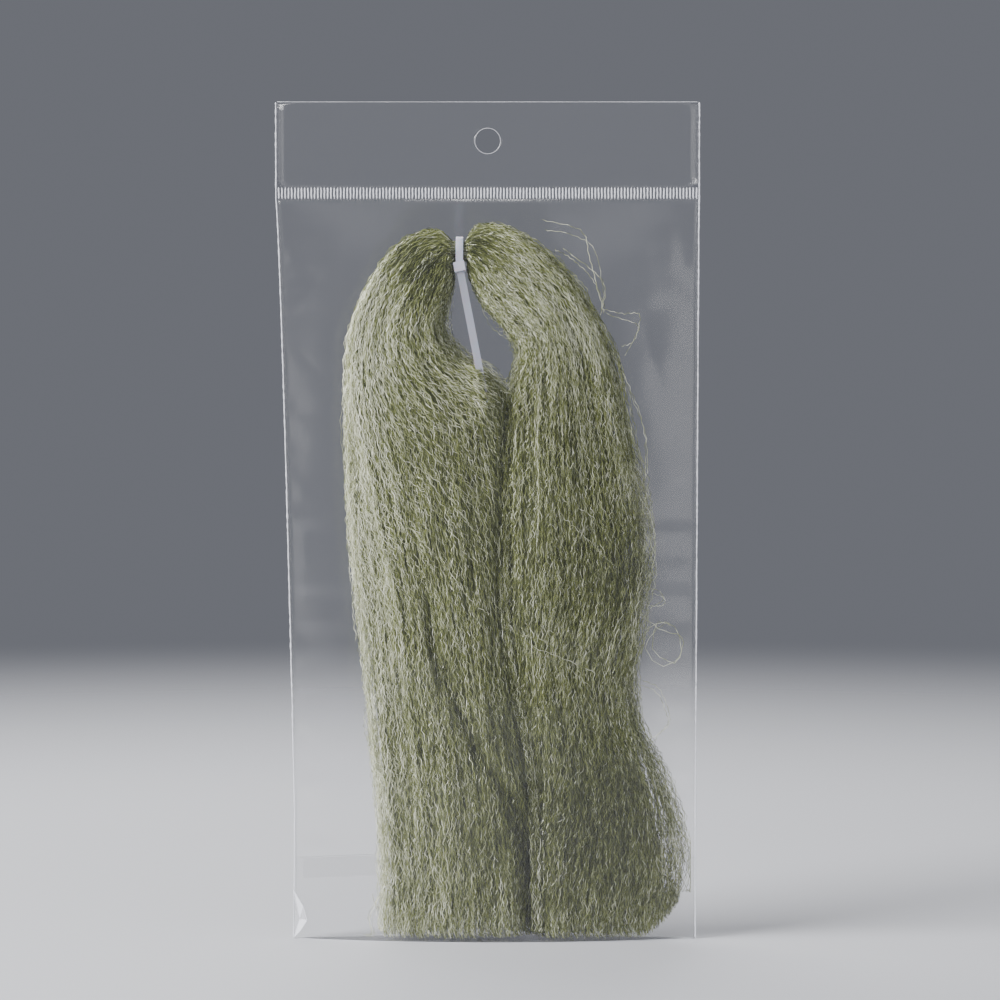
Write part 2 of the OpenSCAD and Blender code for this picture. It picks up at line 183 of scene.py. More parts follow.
def grid_quads(rows, columns, closed=False):
    """Faces of a grid of rows by columns points. Each face takes a point, the next along its row,
    and the two above them. closed joins the last column to the first."""
    across = columns if closed else columns - 1
    i, j = np.meshgrid(np.arange(rows - 1), np.arange(across), indexing="ij")
    after = (j + 1) % columns
    faces = [i * columns + j, i * columns + after, (i + 1) * columns + after, (i + 1) * columns + j]
    return np.stack(faces, axis=-1).reshape(-1, 4)


def set_uv(piece, uv):
    """Gives a mesh a UV map from one pair of values for each of its points."""
    layer = piece.data.uv_layers.new(name="flow")
    index = np.empty(len(piece.data.loops), np.int32)
    piece.data.loops.foreach_get("vertex_index", index)
    layer.data.foreach_set("uv", np.asarray(uv, np.float32).reshape(-1, 2)[index].ravel())


def smooth_rows(rows, index):
    """Smooth curves through rows of numbers, at fractional row numbers. Between two rows it is the
    cubic that passes through both and is in line with their other neighbours at each."""
    rows = np.asarray(rows, float)
    i = np.clip(np.floor(index).astype(int), 0, len(rows) - 2)
    t = (index - i)[..., None]
    p0, p1 = rows[np.maximum(i - 1, 0)], rows[i]
    p2, p3 = rows[i + 1], rows[np.minimum(i + 2, len(rows) - 1)]
    return 0.5 * (2 * p1 + (p2 - p0) * t + (2 * p0 - 5 * p1 + 4 * p2 - p3) * t**2
                  + (3 * p1 - p0 - 3 * p2 + p3) * t**3)


print("linear value of the hex grey 80:", round(colour("#808080")[0], 3))

# %% [markdown]
# ## Clear film
# The bag is oriented polypropylene film, about 0.06 mm thick, cast and stretched, so it is as clear
# and as glossy as glass. It could be drawn with a glass shader, but refraction through thin walls
# only darkens what is inside. So each face is mostly open, with a mirror that grows towards grazing
# angles by Schlick's rule: a least share, plus the rest times (1 - cosine) to the fifth power. Plastic
# mirrors 0.04, and a sheet drawn with two faces halves it. The Facing output gives 1 - cosine.

# %% Film materials
FILM_GLOSS = 0.02
FILM_ROUGHNESS = 0.17


def see_through(name, body, veil):
    """A clear film: open, plus a mirror by Schlick's rule, plus a share veil of the shader body."""
    material, tree, output = new_material(name)
    facing = add_node(tree, "ShaderNodeLayerWeight", inputs={"Blend": 0.5})
    fifth = add_node(tree, "ShaderNodeMath", {"operation": "POWER"},
                     {0: facing.outputs["Facing"], 1: 5.0})
    mirror = add_node(tree, "ShaderNodeMath", {"operation": "MULTIPLY_ADD"},
                      {0: fifth.outputs[0], 1: 1 - FILM_GLOSS, 2: FILM_GLOSS})
    clear = add_node(tree, "ShaderNodeBsdfTransparent", inputs={"Color": colour("#FEFEFE")})
    gloss = add_node(tree, "ShaderNodeBsdfGlossy",
                     inputs={"Color": (1, 1, 1, 1), "Roughness": FILM_ROUGHNESS})
    lower = add_node(tree, "ShaderNodeMixShader", inputs={0: veil, 1: clear.outputs[0]})
    tree.links.new(body(tree), lower.inputs[2])
    top = add_node(tree, "ShaderNodeMixShader",
                   inputs={0: mirror.outputs[0], 1: lower.outputs[0], 2: gloss.outputs[0]})
    tree.links.new(top.outputs[0], output.inputs["Surface"])
    return material


def grain_bump(tree, size, detail, strength, height):
    """A bump node over a noise with grains of size millimetres that stand height millimetres high."""
    place = add_node(tree, "ShaderNodeTexCoord")
    grain = add_node(tree, "ShaderNodeTexNoise",
                     inputs={"Vector": place.outputs["Object"], "Scale": 1 / (size * MM),
                             "Detail": detail})
    return add_node(tree, "ShaderNodeBump",
                    inputs={"Strength": strength, "Distance": height * MM, "Height": grain.outputs[0]})


def haze_body(tree):
    """A pale, soft shader: what dust and static on the film give back."""
    shader = add_node(tree, "ShaderNodeBsdfPrincipled",
                      inputs={"Base Color": colour("#E8EAF4"), "Roughness": 0.45, "IOR": 1.5})
    return shader.outputs[0]


def fused_body(tree):
    """Film that has melted and gone white at a weld: fine bubbles make a soft grain of 0.4 mm."""
    bump = grain_bump(tree, 0.4, 2.0, 0.25, 0.05)
    shader = add_node(tree, "ShaderNodeBsdfPrincipled",
                      inputs={"Base Color": colour("#F4F5FC"), "Roughness": 0.28, "IOR": 1.5,
                              "Normal": bump.outputs[0]})
    return shader.outputs[0]


def tacky_body(tree):
    """Pressure-sensitive adhesive: a soft, slightly warm haze."""
    shader = add_node(tree, "ShaderNodeBsdfPrincipled",
                      inputs={"Base Color": colour("#F0F0EA"), "Roughness": 0.5, "IOR": 1.47})
    return shader.outputs[0]


film = see_through("cast_polypropylene_film", haze_body, 0.006)
fused_film = see_through("fused_polypropylene", fused_body, 0.8)
folded_film = see_through("crumpled_polypropylene", fused_body, 0.16)
adhesive = see_through("pressure_sensitive_adhesive", tacky_body, 0.012)
print("film materials:", [m.name for m in (film, fused_film, folded_film, adhesive)])

# %% [markdown]
# ## The shape of the filled bag
# The film can't stretch, so filling the bag bows its two faces and draws its sides in. Each face is
# a parabola between the side welds. It opens quickly below the ribbed weld and closes a little
# towards the flattened bottom. These are the same rules as the CAD's, so the creased film that is
# built on them lies where the CAD film lies.

# %% Shape rules
ribs_low, ribs_high = box_mm("header_seal_ribs")
fold_low, fold_high = box_mm("bottom_fold")
front_low = box_mm("front_film")[0]
flap_high = box_mm("closing_flap")[1]
weld_low, weld_high = box_mm("left_side_weld")

BAG_W = -2 * weld_low[0]
BAG_H = weld_high[2]
SEAL_Z, BAND_Z = ribs_low[2], ribs_high[2]
FILM_T = fold_high[2]
WELD_W = BAG_W / 2 - ribs_high[0]
BELLY = -front_low[1] - FILM_T
BASE = (fold_high[1] - fold_low[1]) / 2 - FILM_T
# As in the CAD: how far filling draws each side in, and the lengths over which the pouch opens
# below the seal and closes above the base.
DRAW_LEFT, DRAW_RIGHT = 4.1, 0.6
MOUTH_LEN, BASE_LEN = 10.0, 12.0


def draw_share(z):
    """Share of a side's draw-in: ((distance below the seal)/(0.83 of the pouch)) to the power 0.75,
    at most 1, less a tenth that fades out above the base."""
    down = np.clip((SEAL_Z - z) / (0.83 * SEAL_Z), 0, 1)
    return np.where(z < SEAL_Z, down**0.75 - 0.1 * np.exp(-z / BASE_LEN), 0)


def left_in(z):
    """Inner edge of the left weld at height z."""
    return -BAG_W / 2 + WELD_W + DRAW_LEFT * draw_share(z)


def right_in(z):
    """Inner edge of the right weld at height z."""
    return BAG_W / 2 - WELD_W - DRAW_RIGHT * draw_share(z)


def pouch_x(u, z):
    """Place across the pouch at height z: u is -1 at the left weld and 1 at the right one."""
    return left_in(z) + (u + 1) / 2 * (right_in(z) - left_in(z))


def belly(z):
    """Half depth at the middle: the full half depth, times 1 - e^(-distance below seal/10), times
    1 less a part that fades as e^(-z/12) above the base."""
    top = 1 - np.exp(-np.maximum(SEAL_Z - z, 0) / MOUTH_LEN)
    foot = 1 - (1 - BASE / BELLY) * np.exp(-z / BASE_LEN)
    return BELLY * top * foot


def pouch_half(x, z):
    """Half depth of the pouch at a place on its face: belly times 1 - u squared, with u as above."""
    u = np.clip(2 * (x - left_in(z)) / (right_in(z) - left_in(z)) - 1, -1, 1)
    return belly(z) * (1 - u * u)


print("bag:", round(BAG_W, 1), "x", round(BAG_H, 1), "mm; half depth:", round(BELLY, 2), "mm")

# %% [markdown]
# ## Creases
# Film shows its shape only by what it mirrors, so the creases matter more than the outline. Four
# kinds are added up. Short pleats hang from the ribbed weld. Puckers run in from the side welds,
# because the hot knife shrinks the edge. Broad soft waves cover the whole face. Sharp creases,
# where the film was pinched, are ridges about one straight line each.

# %% Crease rules
def ridge(x, z, start, end, height, width):
    """A sharp crease along a line: height times e^(-distance from the line/width), fading towards
    the line's two ends."""
    (x0, z0), (x1, z1) = start, end
    length = math.hypot(x1 - x0, z1 - z0)
    ux, uz = (x1 - x0) / length, (z1 - z0) / length
    along = ((x - x0) * ux + (z - z0) * uz) / length
    aside = np.abs((x - x0) * -uz + (z - z0) * ux)
    ends = np.clip(4 * along * (1 - along), 0, None) * ((along > 0) & (along < 1))
    return height * ends * np.exp(-aside / width)


def soft_waves(x, z, seed, size, count=7):
    """Broad waves: the mean of count sines, each in a random direction with a length near size."""
    source = np.random.default_rng(seed)
    total = 0
    for turn, stretch, phase in source.random((count, 3)):
        angle = math.pi * turn
        length = size * (0.7 + 0.8 * stretch)
        ahead = x * math.cos(angle) + z * math.sin(angle)
        total = total + np.sin(2 * math.pi * ahead / length + 7 * phase)
    return total / count


def pleats(x, z, seed):
    """Pleats below the seal: sines across the bag, strongest 6 mm down and gone 30 mm down."""
    down = np.maximum(SEAL_Z - z, 0)
    swing = x * (1 - 0.002 * down)
    wave = np.sin(2 * math.pi * swing / 11.3 + seed) + 0.7 * np.sin(2 * math.pi * swing / 6.1 + 3 * seed)
    return wave * (down / 6) * np.exp(-down / 6)


def puckers(x, z, seed):
    """Puckers at both side welds: waves up the weld that die out 7 mm in from it."""
    left, right = x - left_in(z), right_in(z) - x
    up = np.sin(2 * math.pi * z / 13.7 + seed) + 0.8 * np.sin(2 * math.pi * z / 7.9 + 2 * seed)
    up = up * (0.6 + 0.4 * np.sin(2 * math.pi * z / 61 + seed))
    near_left = np.exp(-np.abs(left) / 7) * np.clip(left, 0, 1)
    near_right = np.exp(-np.abs(right) / 7) * np.clip(right, 0, 1)
    return up * (near_left + near_right)


# Each sharp crease: the two ends of its line as (x, z), its height and its width, in mm.
FRONT_CREASES = [
    ((-48, 166), (-35, 149), 0.55, 1.3), ((-49, 158), (-37, 160), 0.45, 1.0),
    ((-44, 170), (-41, 146), 0.40, 1.1), ((-36, 163), (-46, 147), 0.35, 0.9),
    ((-47, 152), (-39, 154), 0.40, 0.8), ((36, 150), (41, 128), 0.45, 1.8),
    ((33, 146), (47, 152), 0.35, 1.4), ((-45, 59), (-38, 70), 0.18, 0.4),
    ((-45, 12), (-36, 2), 0.45, 0.9), ((-44, 20), (-38, 4), 0.35, 1.1),
    ((-46, 6), (-30, 4), 0.35, 0.8), ((44, 12), (48, 30), 0.35, 1.2),
    ((-46, 96), (-39, 88), 0.25, 0.9), ((45, 108), (48, 92), 0.30, 0.9),
    ((-46, 40), (-41, 30), 0.30, 1.0),
]
BACK_CREASES = [
    ((40, 168), (30, 150), 0.5, 1.2), ((-46, 140), (-34, 128), 0.4, 1.1),
    ((10, 60), (34, 44), 0.35, 1.4), ((-40, 70), (-20, 96), 0.35, 1.6),
    ((46, 30), (34, 12), 0.45, 1.0), ((-46, 24), (-30, 14), 0.4, 1.0),
    ((-10, 150), (6, 128), 0.3, 1.5), ((44, 110), (36, 90), 0.35, 1.2),
]


def film_relief(x, z, seed, creases):
    """How far the creased film stands out from the smooth bag. It is nothing at the welds."""
    rim = np.clip((x - left_in(z)) / 3, 0, 1) * np.clip((right_in(z) - x) / 3, 0, 1)
    rim = rim * np.clip((SEAL_Z - z) / 2, 0, 1) * np.clip(z / 3, 0, 1)
    relief = 0.28 * soft_waves(x, z, seed, 34) + 0.12 * soft_waves(x, z, seed + 1, 15)
    relief = relief + 0.16 * pleats(x, z, seed) + 0.20 * puckers(x, z, seed)
    for start, end, height, width in creases:
        relief = relief - 0.32 * ridge(x, z, start, end, height, width)
    return relief * rim


print("sharp creases:", len(FRONT_CREASES), "in front and", len(BACK_CREASES), "behind")

# %% [markdown]
# ## Front web
# On the real bag one web of film makes the front, turns under the mouth, and comes up the back as
# the closing flap. The front panel here is one grid: 1 mm squares down the face, then a few rows
# under the bottom to the back crease. The back panel is a second such grid. Solidify gives each the
# film's thickness, which also closes it.

# %% Front and back panels
CELL = 1.0
COLUMNS = int(BAG_W / CELL)
UNDER_ROWS = 9


def thicken(piece, layers=1):
    """Gives a sheet the thickness of one or two films with Solidify, inwards from its faces."""
    solid = piece.modifiers.new("thickness", "SOLIDIFY")
    solid.thickness = layers * FILM_T * MM
    solid.offset = -1
    return piece


def panel_points(side, heights, seed, creases):
    """Points of a face of the pouch, rows up and columns across: y is side times the half depth
    plus the relief plus the film's thickness."""
    z = heights[:, None]
    x = pouch_x(pouch_u, z)
    return places(x, side * (pouch_half(x, z) + film_relief(x, z, seed, creases) + FILM_T), z)


pouch_u = np.linspace(-1, 1, COLUMNS)
face_heights = np.linspace(0.4, SEAL_Z, int(SEAL_Z / CELL))
front_face = panel_points(-1, face_heights, 5, FRONT_CREASES)
foot_x = pouch_x(pouch_u, 0.0)
to_front = np.linspace(0.97, -0.97, UNDER_ROWS)[:, None]
under = places(foot_x, to_front * (pouch_half(foot_x, 0.0) + FILM_T), 0.0)
front_points = np.concatenate([under, front_face])
front_panel = mesh_piece("front_panel", front_points, grid_quads(len(front_points), COLUMNS), film)
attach(thicken(front_panel), "bag")
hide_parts("front_film", "bottom_fold")

back_face = panel_points(1, face_heights, 9, BACK_CREASES)
back_quads = grid_quads(len(face_heights), COLUMNS)[:, ::-1]
back_panel = mesh_piece("back_panel", back_face, back_quads, film)
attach(thicken(back_panel), "bag")
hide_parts("back_film")
print("panels:", len(front_points) * COLUMNS, "and", back_face[..., 0].size, "points")

# %% [markdown]
# ## Header
# The header is two flat layers with a punched hole. A grid that fits both the round hole and the
# straight edges is a fan: each spoke runs from a point on the hole to the point of the rectangle in
# the same direction. The layers lie on each other, so both have the same faint wave.

# %% Header layers
hole = next(m for m in frame["record"]["mounts"] if m["name"] == "hang_hole")
HOLE_R = hole["dims"]["r_mm"]
HOLE_Z = hole["pos_m"][2] / MM
HALF_HEADER = ribs_high[0]


def header_points(y, spokes=256, rings=26):
    """Rings of points from the hole out to the header's edge. The rings divide each spoke by shares
    to the power 1.4, so they are closest at the hole. y has a small wave."""
    angle = np.linspace(0, 2 * math.pi, spokes, endpoint=False)[None, :]
    cos, sin = np.cos(angle), np.sin(angle)
    up, down = BAG_H - HOLE_Z, HOLE_Z - BAND_Z
    reach_x = HALF_HEADER / np.maximum(np.abs(cos), 1e-9)
    reach_z = np.where(sin > 0, up, down) / np.maximum(np.abs(sin), 1e-9)
    reach = np.minimum(reach_x, reach_z)
    share = np.linspace(0, 1, rings)[:, None] ** 1.4
    radius = HOLE_R + share * (reach - HOLE_R)
    x, z = radius * cos, HOLE_Z + radius * sin
    rim = np.clip((HALF_HEADER - np.abs(x)) / 8, 0, 1) * np.clip((z - BAND_Z) / 6, 0, 1)
    wave = 0.10 * soft_waves(x, z, 3, 40) + 0.03 * soft_waves(x, z, 4, 17)
    return places(x, y + wave * rim, z)


for name, side in (("header_front", -1), ("header_back", 1)):
    points = header_points(side * FILM_T)
    quads = grid_quads(*points.shape[:2], closed=True)[:, ::side]
    layer = thicken(mesh_piece(name, points, quads, film))
    belongs(layer, "bag", "clear_film", f"{name}_layer")
print("hole radius", HOLE_R, "mm at height", round(HOLE_Z, 1))

# %% [markdown]
# ## Punched edge of the hole
# A punch leaves the edge of the film a little thick and white. It is a ring of small round section.

# %% Hole edge
def ring_tube(path, radii, sides, squash=1.0):
    """Rings of points round a closed or open path of places, made from two directions square to the
    path: the bag's depth axis, and the cross product of that with the path."""
    ahead = np.gradient(path, axis=0)
    ahead = ahead / np.linalg.norm(ahead, axis=1, keepdims=True)
    deep = np.array([0.0, 1.0, 0.0])
    first = np.cross(ahead, deep)
    first = first / np.linalg.norm(first, axis=1, keepdims=True)
    second = np.cross(ahead, first)
    angle = np.linspace(0, 2 * math.pi, sides, endpoint=False)[None, :, None]
    radii = np.broadcast_to(np.asarray(radii, float), len(path))[:, None, None]
    round_path = np.cos(angle) * first[:, None, :] + squash * np.sin(angle) * second[:, None, :]
    return path[:, None, :] + radii * round_path


BEAD_SIDES = 8
RIM_STEPS = 96
RIM_R = 0.045


def end_fans(rows, columns):
    """Triangles that close both ends of a tube of rings, as a fan from the first point of each."""
    k = np.arange(1, columns - 1)
    last = (rows - 1) * columns
    first_ring = np.stack([0 * k, k + 1, k], axis=-1)
    last_ring = np.stack([0 * k + last, last + k, last + k + 1], axis=-1)
    return np.concatenate([first_ring, last_ring])


def bead_piece(name, path, radius, nodes=(), squash=1.0, body="bag"):
    """A line of melted or folded film: an eight-sided tube round a path, closed by flat ends."""
    points = ring_tube(path, radius, BEAD_SIDES, squash)
    faces = grid_quads(len(path), BEAD_SIDES, closed=True)
    bead = mesh_piece(name, points, faces, fused_film, end_fans(len(path), BEAD_SIDES))
    return belongs(bead, body, "film_weld", *nodes)


turn = np.linspace(0, 2 * math.pi, RIM_STEPS + 1)
rim_path = places(HOLE_R * np.cos(turn), 0.0, HOLE_Z + HOLE_R * np.sin(turn))
rim_points = ring_tube(rim_path, RIM_R, BEAD_SIDES, 1.5)[:-1]
rim_faces = grid_quads(RIM_STEPS + 1, BEAD_SIDES, closed=True) % (RIM_STEPS * BEAD_SIDES)
belongs(mesh_piece("hole_edge", rim_points, rim_faces, fused_film), "bag", "film_weld")
print("hole edge:", len(rim_faces), "faces")

# %% [markdown]
# ## Ribbed weld
# A ribbed jaw presses both layers together, and every rib of the jaw leaves a raised white line. The
# ribs are rounded bars on both faces of one fused strip. Their heights and lean vary a little,
# because the jaw never presses quite evenly.

# %% Ribbed weld
RIB_PITCH = 0.767
RIB_W = 0.34
rib_count = int((ribs_high[0] - ribs_low[0] - RIB_W) / RIB_PITCH) + 1
RIB_RISE = ribs_high[1] - FILM_T


def rib_points(side):
    """All ribs on one face: for each, 7 places across a half round by 9 places up. The rib bows
    outwards as the square root of 1 - across squared, and its ends are drawn in."""
    start = -(rib_count - 1) * RIB_PITCH / 2
    middle = start + RIB_PITCH * np.arange(rib_count)[:, None, None]
    lean, tall, dent = rng.normal(0, 1, (3, rib_count, 1, 1))
    up = np.linspace(0, 1, 9)[None, :, None]
    across = np.linspace(-1, 1, 7)[None, None, :]
    z0 = SEAL_Z + 0.05 + 0.08 * np.abs(tall)
    z1 = BAND_Z - 0.05 - 0.08 * np.abs(dent)
    narrow = 1 - (2 * up - 1) ** 8 * 0.6
    x = middle + 0.05 * lean * (up - 0.5) + across * RIB_W / 2 * narrow
    x = x + 0.03 * np.sin(9 * up + 7 * lean)
    z = z0 + up * (z1 - z0) + 0 * x
    out = RIB_RISE * np.sqrt(np.clip(1 - across**2, 0, 1)) * narrow * (0.85 + 0.15 * np.sin(5 * lean))
    return places(x, side * (FILM_T + out - 0.005), z)


def closed_bars(points):
    """Faces of many bars whose grids are bowed outwards, with a flat back through their edges, and
    ends closed as fans of that grid's first and last rows."""
    count, rows, columns = points.shape[:3]
    one = grid_quads(rows, columns)
    row = np.arange(rows - 1) * columns
    back = np.stack([row + columns - 1, row, row + columns, row + 2 * columns - 1], axis=-1)
    offsets = (np.arange(count) * rows * columns)[:, None, None]
    quads = (np.concatenate([one, back])[None] + offsets).reshape(-1, 4)
    triangles = (end_fans(rows, columns)[None] + offsets).reshape(-1, 3)
    return quads, triangles


front_ribs, back_ribs = rib_points(-1), rib_points(1)
quads, triangles = closed_bars(front_ribs)
more = front_ribs[..., 0].size
points = np.concatenate([front_ribs.reshape(-1, 3), back_ribs.reshape(-1, 3)])
quads = np.concatenate([quads, quads[:, ::-1] + more])
triangles = np.concatenate([triangles, triangles[:, ::-1] + more])
seal_ribs = mesh_piece("seal_ribs", points, quads, fused_film, triangles)
belongs(seal_ribs, "bag", "film_weld", "header_seal_ribs")

strip_x = np.linspace(-HALF_HEADER, HALF_HEADER, 200)
strip_z = np.linspace(SEAL_Z, BAND_Z, 8)[:, None]
strip_quads = grid_quads(len(strip_z), len(strip_x))
seal_strip = mesh_piece("seal_strip", places(strip_x, -FILM_T, strip_z), strip_quads, film)
belongs(thicken(seal_strip, layers=2), "bag", "clear_film", "header_seal_ribs")
print("ribs:", rib_count, "on each face")

# %% [markdown]
# ## Side welds
# A hot knife cuts and welds the sides in one stroke, and leaves a thin, uneven bead. It is a tube
# that follows the edge of the bag, with a radius and a place that wander by a few hundredths.

# %% Side welds
def weld_piece(name, side, node_name):
    """A bead along the edge: an oval tube whose radius is 0.16 mm times 1 plus small waves."""
    z = np.linspace(0.12, BAG_H - 0.1, 700)
    edge = left_in(z) - WELD_W if side < 0 else right_in(z) + WELD_W
    wander = 0.07 * soft_waves(z, 0 * z, 20 + side, 9) + 0.05 * soft_waves(z, 0 * z, 22 + side, 2.3)
    x = edge - side * (0.24 + np.abs(wander))
    y = 0.10 * soft_waves(z, 0 * z, 25 + side, 21)
    swell = 0.5 * soft_waves(z, 0 * z, 30 + side, 1.7) + 0.3 * soft_waves(z, 0 * z, 31 + side, 6)
    radius = 0.16 * (1 + swell)
    radius[[0, -1]] = 0.02
    return bead_piece(name, places(x, y, z), radius, [node_name], 0.9)


def selvedge(name, side):
    """The flat strip of film between the bead and the pouch, where both layers are fused."""
    z = np.linspace(0.1, BAG_H, 360)[:, None]
    inner = left_in(z) if side < 0 else right_in(z)
    share = np.linspace(0, 1, 4)[None, :]
    x = inner + side * WELD_W * 0.6 * share
    quads = grid_quads(len(z), 4)[:, ::side]
    strip = mesh_piece(name, places(x, -FILM_T, z), quads, film)
    return belongs(thicken(strip, layers=2), "bag", "clear_film")


for side, word in ((-1, "left"), (1, "right")):
    bead = weld_piece(f"{word}_weld_bead", side, f"{word}_side_weld")
    print(bead.name, "has", len(bead.data.polygons), "faces")
for side, word in ((-1, "left"), (1, "right")):
    selvedge(f"{word}_selvedge", side)

# %% [markdown]
# ## Closing flap and its adhesive
# The flap continues the bottom strip up the back. It is one sheet that follows the back panel, just
# outside it. The film bends over the crease, and the sheet lifts a little from there. The adhesive is a
# thin strip on its inner face, with a ragged edge.

# %% Closing flap and adhesive
FLAP_GAP = 0.2
FLAP_ROWS = 26
GLUE_ROWS, GLUE_COLUMNS = 9, 180


def over_back(u, z, off):
    """Points over the back panel: y is the half depth plus off, plus a soft lift of up to 0.12 mm
    that starts at the crease."""
    x = pouch_x(u, z)
    lift = 0.06 * (1 + soft_waves(x, z, 61, 17)) * np.clip(z / 6, 0, 1)
    return places(x, pouch_half(x, z) + off + lift, z)


flap_z = np.linspace(0.1, flap_high[2], FLAP_ROWS)[:, None]
flap_points = over_back(pouch_u, flap_z, 2 * FILM_T + FLAP_GAP)
flap = thicken(mesh_piece("flap", flap_points, grid_quads(FLAP_ROWS, COLUMNS)[:, ::-1], film))
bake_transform(flap)
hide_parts("closing_flap")

bead_piece("flap_edge", flap_points[-1] + (0, -FILM_T / 2, 0), 0.05, body="flap")
strip_low, strip_high = box_mm("adhesive_strip")
glue_up = np.linspace(0, 1, GLUE_ROWS)[:, None]
glue_u = np.linspace(-0.965, 0.965, GLUE_COLUMNS)
ragged = 0.25 * soft_waves(glue_u * 50, 0 * glue_u, 71, 5)
glue_z = strip_low[2] + ragged + glue_up * (strip_high[2] - 0.3 - strip_low[2] - ragged)
glue_points = over_back(glue_u, glue_z, FILM_T + FLAP_GAP - 0.02)
glue_quads = grid_quads(GLUE_ROWS, GLUE_COLUMNS)[:, ::-1]
glue = thicken(mesh_piece("adhesive", glue_points, glue_quads, adhesive))
belongs(glue, "flap", "adhesive", "adhesive_strip")
print("flap height", round(flap_high[2], 1), "mm; adhesive from", round(strip_low[2], 1))

# %% [markdown]
# ## Folded corner
# The bottom left corner of the bag has been bent over and crushed flat. Crushed film is a fan of
# flat facets between sharp folds, so the mesh has few, large faces, flat shaded, which stand out by
# different amounts. Each fold has gone white where the film was bent, which is a fine bead along
# it. The creases at the bottom and at the top edge of the bag are such beads too.

# %% Folded corner and crease lines
corner_x = float(left_in(0.0))
FACET_CORNERS = {
    "foot": (-0.25, 0.25, 0.1), "tip": (3.0, 4.6, 1.0), "top": (-0.25, 11.6, 0.1),
    "heart": (1.15, 4.7, 0.25), "shoulder": (2.05, 7.8, 0.5), "side": (-0.25, 7.0, 0.1),
    "toe": (1.5, 2.2, 0.9),
}
FACETS = [
    ("foot", "toe", "heart"), ("toe", "tip", "heart"), ("heart", "tip", "shoulder"),
    ("heart", "shoulder", "top"), ("side", "heart", "top"), ("foot", "heart", "side"),
]
# These facets get the white weld film: painted highlight where the crushed film faces the light.
PAINTED_HIGHLIGHT_FACETS = [FACETS[0], FACETS[1], FACETS[3]]
FOLDS = [
    ("foot", "toe", "tip", "shoulder", "top"), ("foot", "heart", "tip"), ("heart", "top"),
    ("foot", "side", "top"),
]


def facet_place(key):
    """A facet's corner: across and up from the bag's corner, and out in front of the film."""
    across, up, out = FACET_CORNERS[key]
    x, z = corner_x + across, up
    return (x, -float(pouch_half(x, z)) - 2 * FILM_T - 0.06 - 0.75 * out, z)


keys = list(FACET_CORNERS)
corner_mesh = bpy.data.meshes.new("folded_corner")
corner_mesh.from_pydata([[MM * v for v in facet_place(key)] for key in keys], [],
                        [[keys.index(key) for key in facet] for facet in FACETS])
corner_mesh.materials.append(folded_film)
# The white weld film here is painted highlight on the facets that face the light.
corner_mesh.materials.append(fused_film)
corner_mesh.polygons.foreach_set("material_index", [int(facet in PAINTED_HIGHLIGHT_FACETS) for facet in FACETS])
belongs(thicken(link_piece("folded_corner", corner_mesh)), "bag", "film_weld", "corner_tuck")
for number, fold in enumerate(FOLDS, 1):
    stops = np.array([facet_place(key) for key in fold])
    steps = np.linspace(0, len(stops) - 1, 6 * len(stops) - 5)
    path = places(*(np.interp(steps, np.arange(len(stops)), stops[:, k]) for k in range(3)))
    bead_piece(f"corner_fold_{number}", path, 0.075)

line_x = np.linspace(left_in(0.0) + 0.2, right_in(0.0) - 0.2, 160)
line_y = pouch_half(line_x, 0.0) + FILM_T
bead_piece("bottom_front_crease", places(line_x, -line_y, 0.09), 0.06)
bead_piece("bottom_back_crease", places(line_x, line_y, 0.09), 0.05)
top_x = np.linspace(-HALF_HEADER, HALF_HEADER, 120)
bead_piece("top_fold", places(top_x, 0.0, BAG_H - 0.06), 0.055)
print("folded corner:", len(FACETS), "facets,", len(FOLDS), "folds")

# %% [markdown]
# ## Nylon
# A cable tie is moulded from natural nylon 6/6: milky, a little translucent, with a satin skin. Its
# base colour is a pale, cool grey-white. Light scatters a millimetre or so inside, and the mould's
# texture is a fine grain.

# %% Nylon material
def nylon_body(tree):
    """Milky nylon with a satin skin: light goes 0.8 mm in, and the mould's grain is 0.35 mm."""
    bump = grain_bump(tree, 0.35, 3.0, 0.2, 0.02)
    shader = add_node(tree, "ShaderNodeBsdfPrincipled",
                      inputs={"Base Color": colour("#C2C4D2"), "Roughness": 0.3, "IOR": 1.53,
                              "Subsurface Weight": 0.3, "Subsurface Scale": 0.8 * MM,
                              "Normal": bump.outputs[0]})
    return shader.outputs[0]


nylon, tree, output = new_material("natural_nylon")
tree.links.new(nylon_body(tree), output.inputs["Surface"])
thin_nylon = see_through("natural_nylon_thin_strap", nylon_body, 0.5)
print("nylon materials:", [m.name for m in (nylon, thin_nylon)])

# %% [markdown]
# ## Cable tie
# The CAD has the tie's shape right, down to the teeth, but its edges are mathematically sharp, and
# no moulding is. A copy of each node has its loose triangles merged, and a Bevel modifier rounds
# its edges by a few hundredths.

# %% Cable tie
def rounded_copy(node_name, name, width, material):
    """A merged copy of a CAD node's mesh with bevelled edges."""
    mesh = frame["nodes"][node_name].data.copy()
    work = bmesh.new()
    work.from_mesh(mesh)
    bmesh.ops.remove_doubles(work, verts=work.verts, dist=0.002 * MM)
    bmesh.ops.dissolve_limit(work, angle_limit=math.radians(1), verts=work.verts, edges=work.edges)
    work.to_mesh(mesh)
    work.free()
    mesh.materials.clear()
    mesh.materials.append(material)
    piece = link_piece(name, mesh)
    bevel = piece.modifiers.new("edges", "BEVEL")
    bevel.width = width * MM
    bevel.segments = 2
    bevel.limit_method = "ANGLE"
    bevel.angle_limit = math.radians(40)
    bevel.use_clamp_overlap = True
    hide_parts(node_name)
    return piece


for node_name, name, width, body, finish in (
    ("tie_loop", "strap_round_neck", 0.10, "hank", nylon),
    ("tie_tail", "strap_tail", 0.05, "hank", thin_nylon),
    ("tie_head", "head", 0.10, "hank", nylon),
    ("tie_pawl", "pawl", 0.03, "pawl", nylon),
):
    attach(rounded_copy(node_name, name, width, finish), body)
print("tie pieces rounded")
